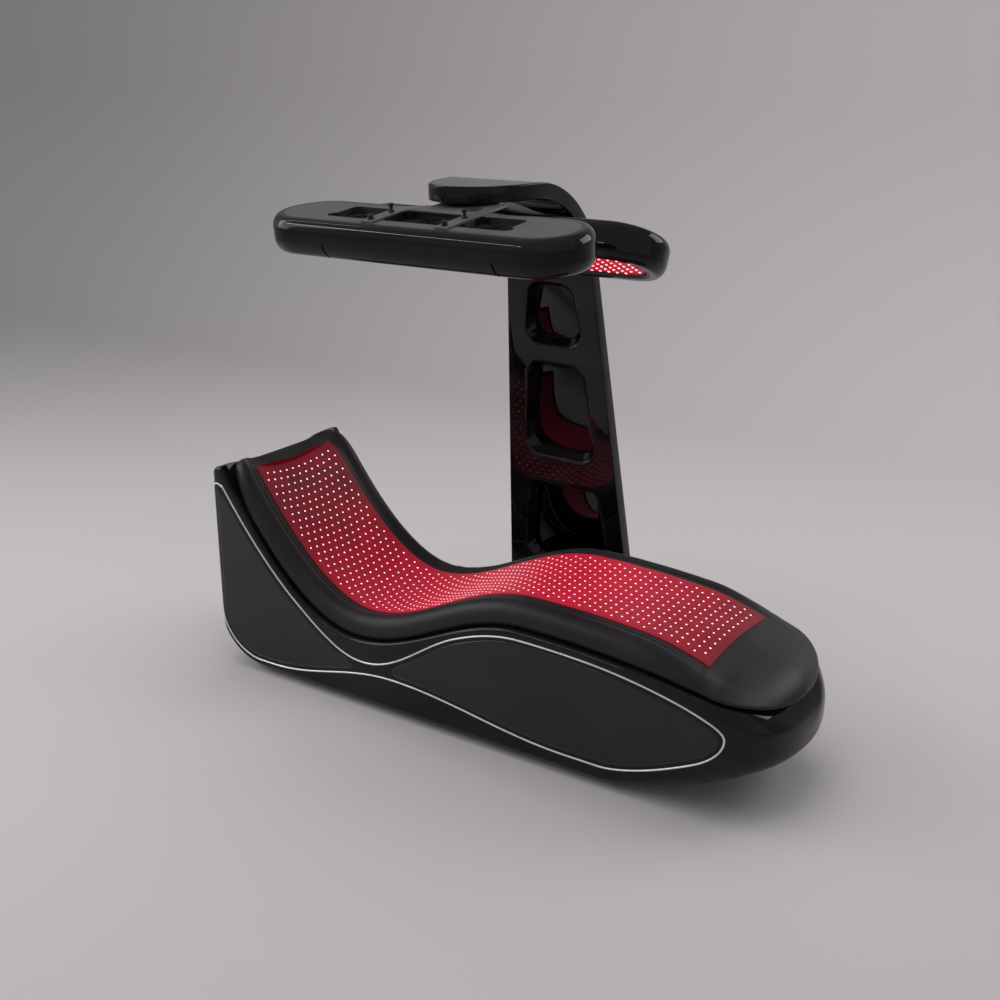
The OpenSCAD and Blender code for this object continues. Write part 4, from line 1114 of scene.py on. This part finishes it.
def window_ring(low, high, grow, depth):
    """A window's outline: four arcs on a trapezoid, at a depth."""
    r = window_r + min(0, grow) * 0.5
    z0, z1 = low / math.cos(lean) - grow + r, high / math.cos(lean) + grow - r
    taper = floor_hw - bend_hw
    b0 = floor_hw - taper * low / bend_z - frame_w + grow - r
    b1 = floor_hw - taper * high / bend_z - frame_w + grow - r
    corners = ((-b0, z0, 180), (b0, z0, 270), (b1, z1, 0), (-b1, z1, 90))
    ring = np.concatenate([arc(x, z, r, t, t + 90, 14) for x, z, t in corners])
    return on_tower(np.column_stack([ring, np.full(len(ring), depth)]))


def carve(piece, rings):
    """Cuts a closed plug, given as rings, out of a piece."""
    tool = make("plug", capped(rings, 1), gloss_black)
    cut = piece.modifiers.new("cut", "BOOLEAN")
    cut.operation, cut.object, cut.solver = "DIFFERENCE", tool, "EXACT"
    bpy.context.view_layer.objects.active = piece
    with bpy.context.temp_override(object=piece, active_object=piece):
        bpy.ops.object.modifier_apply(modifier=cut.name)
    bpy.data.objects.remove(tool)


windows = ((276, 604), (714, 1066), (1138, 1356))
grow_depth = ((9, -40), (7, -25.6), (3.6, -24.2), (1.6, -22), (0.6, -18), (-18, 11))
for low, high in windows:
    carve(tower, np.stack([window_ring(low, high, g, d) for g, d in grow_depth]))
a = np.linspace(0, 2 * np.pi, 96, endpoint=False)
disc = np.stack([tower_x + hub_r * np.cos(a), hub_r * np.sin(a), 0 * a], -1)
carve(tower, np.stack([disc + [0, 0, arm_z - 6], disc + [0, 0, arm_z + 8.2]]))
soften(tower, 32)

cover_w = ribbon_half(line, wall + 0.8)
keep = cover_w > 0.5
line, normal, w = line[keep], normal[keep], cover_w[keep][:, None]
flat = np.linspace(-1, 1, 15)[None, :]
shrink = w - np.minimum(0.8, 0.5 * w)
cover_x = np.concatenate([flat * w, (flat * shrink)[:, ::-1]], 1)
cover_o = np.concatenate([half_t - 4 + 0 * flat * w, half_t - 0.2 + 0 * flat * w], 1)
cover = ribbon_grid((cover_x, cover_o))
sheet, behind = capped(cover, 1), ["tower_back_cover"]
make("tower_back_cover_sheet", sheet, gloss_black, instead=behind)

mirror_tone = (0.045, 0.043, 0.048)
dark_mirror, root, bsdf = finish("window_mirror", mirror_tone, 0.03, Metallic=1.0)
smudge = spread(root, noise(root, 5, 4), 0.45, 0.72)
feed(
    bsdf,
    Roughness=smudge * 0.06 + 0.02,
    Base_Color=smudge.blend((0.034, 0.032, 0.036), (0.022, 0.021, 0.024)),
)
for node in ("upper_mirror", "middle_mirror", "lower_mirror"):
    dress(node, dark_mirror, 0.8)

# ----------------------------------------
# Hub and brackets: a grey steel hub let into the arm's tip carries a pin for
# each wing; a satin plate with two bars hangs on the pin, and four capped
# studs hold its light head. The walls of the vents and of the boards are
# painted matte black as shade, picked by the way their faces point.
grey_steel = metal("hub_grey_steel", (0.10, 0.10, 0.11), 0.4, 0.7)
bracket_plate = metal("bracket_satin_plate", (0.16, 0.158, 0.165), 0.38, 0.5, 700)
stud_black = moulded("stud_black", (0.013, 0.013, 0.014), 0.35)
cap_plastic = moulded("cap_plastic", (0.02, 0.02, 0.02), 0.4)
plate_grey = metal("head_plate_grey", (0.105, 0.104, 0.110), 0.42, 0.3, 800)
fan_plastic = moulded("fan_plastic", (0.006, 0.006, 0.007), 0.6)
# Painted glow: the red board emits light as if lit by the lenses' spill, though it is
# no lamp.
board_red = moulded("board_lacquer_painted_glow", (0.30, 0.012, 0.02), 0.45)
board_painted_glow = board_red.node_tree.nodes["Principled BSDF"].inputs
board_painted_glow["Emission Color"].default_value = (0.5, 0.004, 0.02, 1)
board_painted_glow["Emission Strength"].default_value = 0.5
bezel_black = moulded("bezel_black", (0.012, 0.012, 0.013), 0.3)
dress("hub_block", grey_steel, 0.8)
dress("hub_bolts", bright_steel, 0.4)
for word in ("near", "far"):
    for node, material, edge in (
        ("hinge_pin", bright_steel, 0.5),
        ("bracket", bracket_plate, 1.0),
        ("bracket_bolts", stud_black, 1.2),
        ("cable_cap", cap_plastic, 1.2),
        ("top_plate", plate_grey, 0),
        ("fan_tray", fan_plastic, 0),
        ("fan_frames", fan_plastic, 0.6),
        ("fan_1", fan_plastic, 0),
        ("fan_2", fan_plastic, 0),
        ("fan_3", fan_plastic, 0),
        ("led_board", board_red, 0),
        ("bezel", bezel_black, 0.6),
    ):
        dress(f"{word}_{node}", material, edge)
    # Painted shade: the top plate's sideways faces (its vent walls) and the board's
    # faces that don't point down get matte black.
    for node, least, most in (("top_plate", -0.8, 0.8), ("led_board", -0.5, 2.0)):
        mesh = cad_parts[f"{word}_{node}"].data
        mesh.materials.append(matte_black)
        facing = np.zeros(3 * len(mesh.polygons))
        mesh.polygons.foreach_get("normal", facing)
        up = facing.reshape(-1, 3)[:, 2]
        painted_shade = (up > least) & (up < most)
        mesh.polygons.foreach_set("material_index", painted_shade.astype(np.int32))

# ----------------------------------------
# Light heads: each a round-ended shell of gloss black, open above for a
# vented plate and below for a board of red lenses. Two slanted grooves run
# up its outer side from the lower edge.
head_l, head_w, head_h, reach, head_top, shell_t = 1100, 294, 111, 216, 3, 7
upper_r, lower_r, side_r, rim_in, bezel_in, pin_y, pin_z = 38, 42, 28, 38, 46, 32, 1660
end_r = head_w / 2
head_half, head_low = (head_l - head_w) / 2, head_top - head_h
tilt = {-1: 6.5, 1: 25.0}


def in_wing(points, side):
    """From a wing's own frame (hinge along X, reach along Y) to the bed's."""
    t = -math.radians(tilt[side])
    x, y, z = points[..., 0], points[..., 1], points[..., 2]
    y, z = y * math.cos(t) - z * math.sin(t), y * math.sin(t) + z * math.cos(t)
    return np.stack([tower_x + side * x, side * (pin_y + y), pin_z + z], -1)


def stadium(r):
    """Round-ended outline: two half circles, their straights between."""
    a = np.linspace(-np.pi / 2, np.pi / 2, 48)
    right = np.stack([head_half + r[:, None] * np.cos(a), r[:, None] * np.sin(a)], -1)
    run = np.linspace(1, -1, 24)[1:-1]
    top = np.stack([head_half * run + 0 * r[:, None], r[:, None] + 0 * run], -1)
    return np.concatenate([right, top, -right, -top], 1)


def head_section():
    """Radius and height round the shell's wall, outside then inside."""
    above, below = np.linspace(0, np.pi / 2, 14), np.linspace(np.pi / 2, np.pi, 18)

    def side_line(t):
        out = end_r - side_r + (side_r - t) * np.sin(np.concatenate([above, below]))
        upper = head_top - upper_r + (upper_r - t) * np.cos(above)
        lower = head_low + lower_r + (lower_r - t) * np.cos(below)
        return np.stack([out, np.concatenate([upper, lower])], -1)

    r, z = end_r - rim_in, head_top
    rim_top = [[r, z - shell_t], [r, z - 0.8], [r + 0.8, z]]
    r, z = end_r - bezel_in, head_low
    rim_low = [[r + 1, z], [r, z + 1], [r, z + shell_t]]
    return np.concatenate([rim_top, side_line(0), rim_low, side_line(shell_t)[::-1]])


profile = head_section()
lit_lens = glow("lit_lens", (1.0, 0.05, 0.08), (1.0, 0.50, 0.54), 3.4)
lens_n, row_n, row_pitch, lens_r, lens_h = 31, 7, 26.0, 4.6, 2.6
slot_hw, slot_out, slot_slant, groove = 3.5, 6, 0.3, ((1, -26), (14, -11.5), (42, -4))
along = (np.arange(lens_n) - lens_n // 2) * ((head_l - 160) / lens_n)
across = (np.arange(row_n) - row_n // 2) * row_pitch
lens_x, lens_y = np.meshgrid(along, across, indexing="ij")
past = np.hypot(np.maximum(0, np.abs(lens_x) - head_half), lens_y)
on_board = past < end_r - bezel_in - 21
lens_x, lens_y = lens_x[on_board], lens_y[on_board]
lens_z = np.full(len(lens_x), head_low + shell_t + 3.0)
lens_at = np.stack([lens_x, reach + lens_y, lens_z], -1)
for side, word in sides:
    ring = stadium(profile[:, 0]) + [0, reach]
    level = np.broadcast_to(profile[:, 1, None, None], (*ring.shape[:2], 1))
    shape = np.concatenate([ring, level], -1)
    shell = make(
        f"{word}_head_shell",
        [(in_wing(shape, side), True, True)],
        gloss_black,
        body=f"{word}_wing",
        instead=[f"{word}_light_shell"],
        crisp=40,
    )
    for x in (-0.42 * (head_l - head_w), 0.33 * (head_l - head_w)):
        cut = []
        for z, deep in groove:
            slot_y = np.array([deep, deep, slot_out, slot_out]) + reach + end_r
            slot_x = slot_hw * np.array([-1, 1, 1, -1]) + x + slot_slant * z
            cut.append(np.stack([slot_x, slot_y, np.full(4, head_low + z)], -1))
        carve(shell, in_wing(np.stack(cut), side))
    soften(shell, 40)
    lens_in = in_wing(lens_at, side)
    lights(
        f"{word}_lens_domes",
        lens_in,
        in_wing(lens_at + [0, 0, -1.0], side) - lens_in,
        lens_r,
        lens_h,
        lit_lens,
        f"{word}_wing",
        instead=[f"{word}_lenses"],
    )
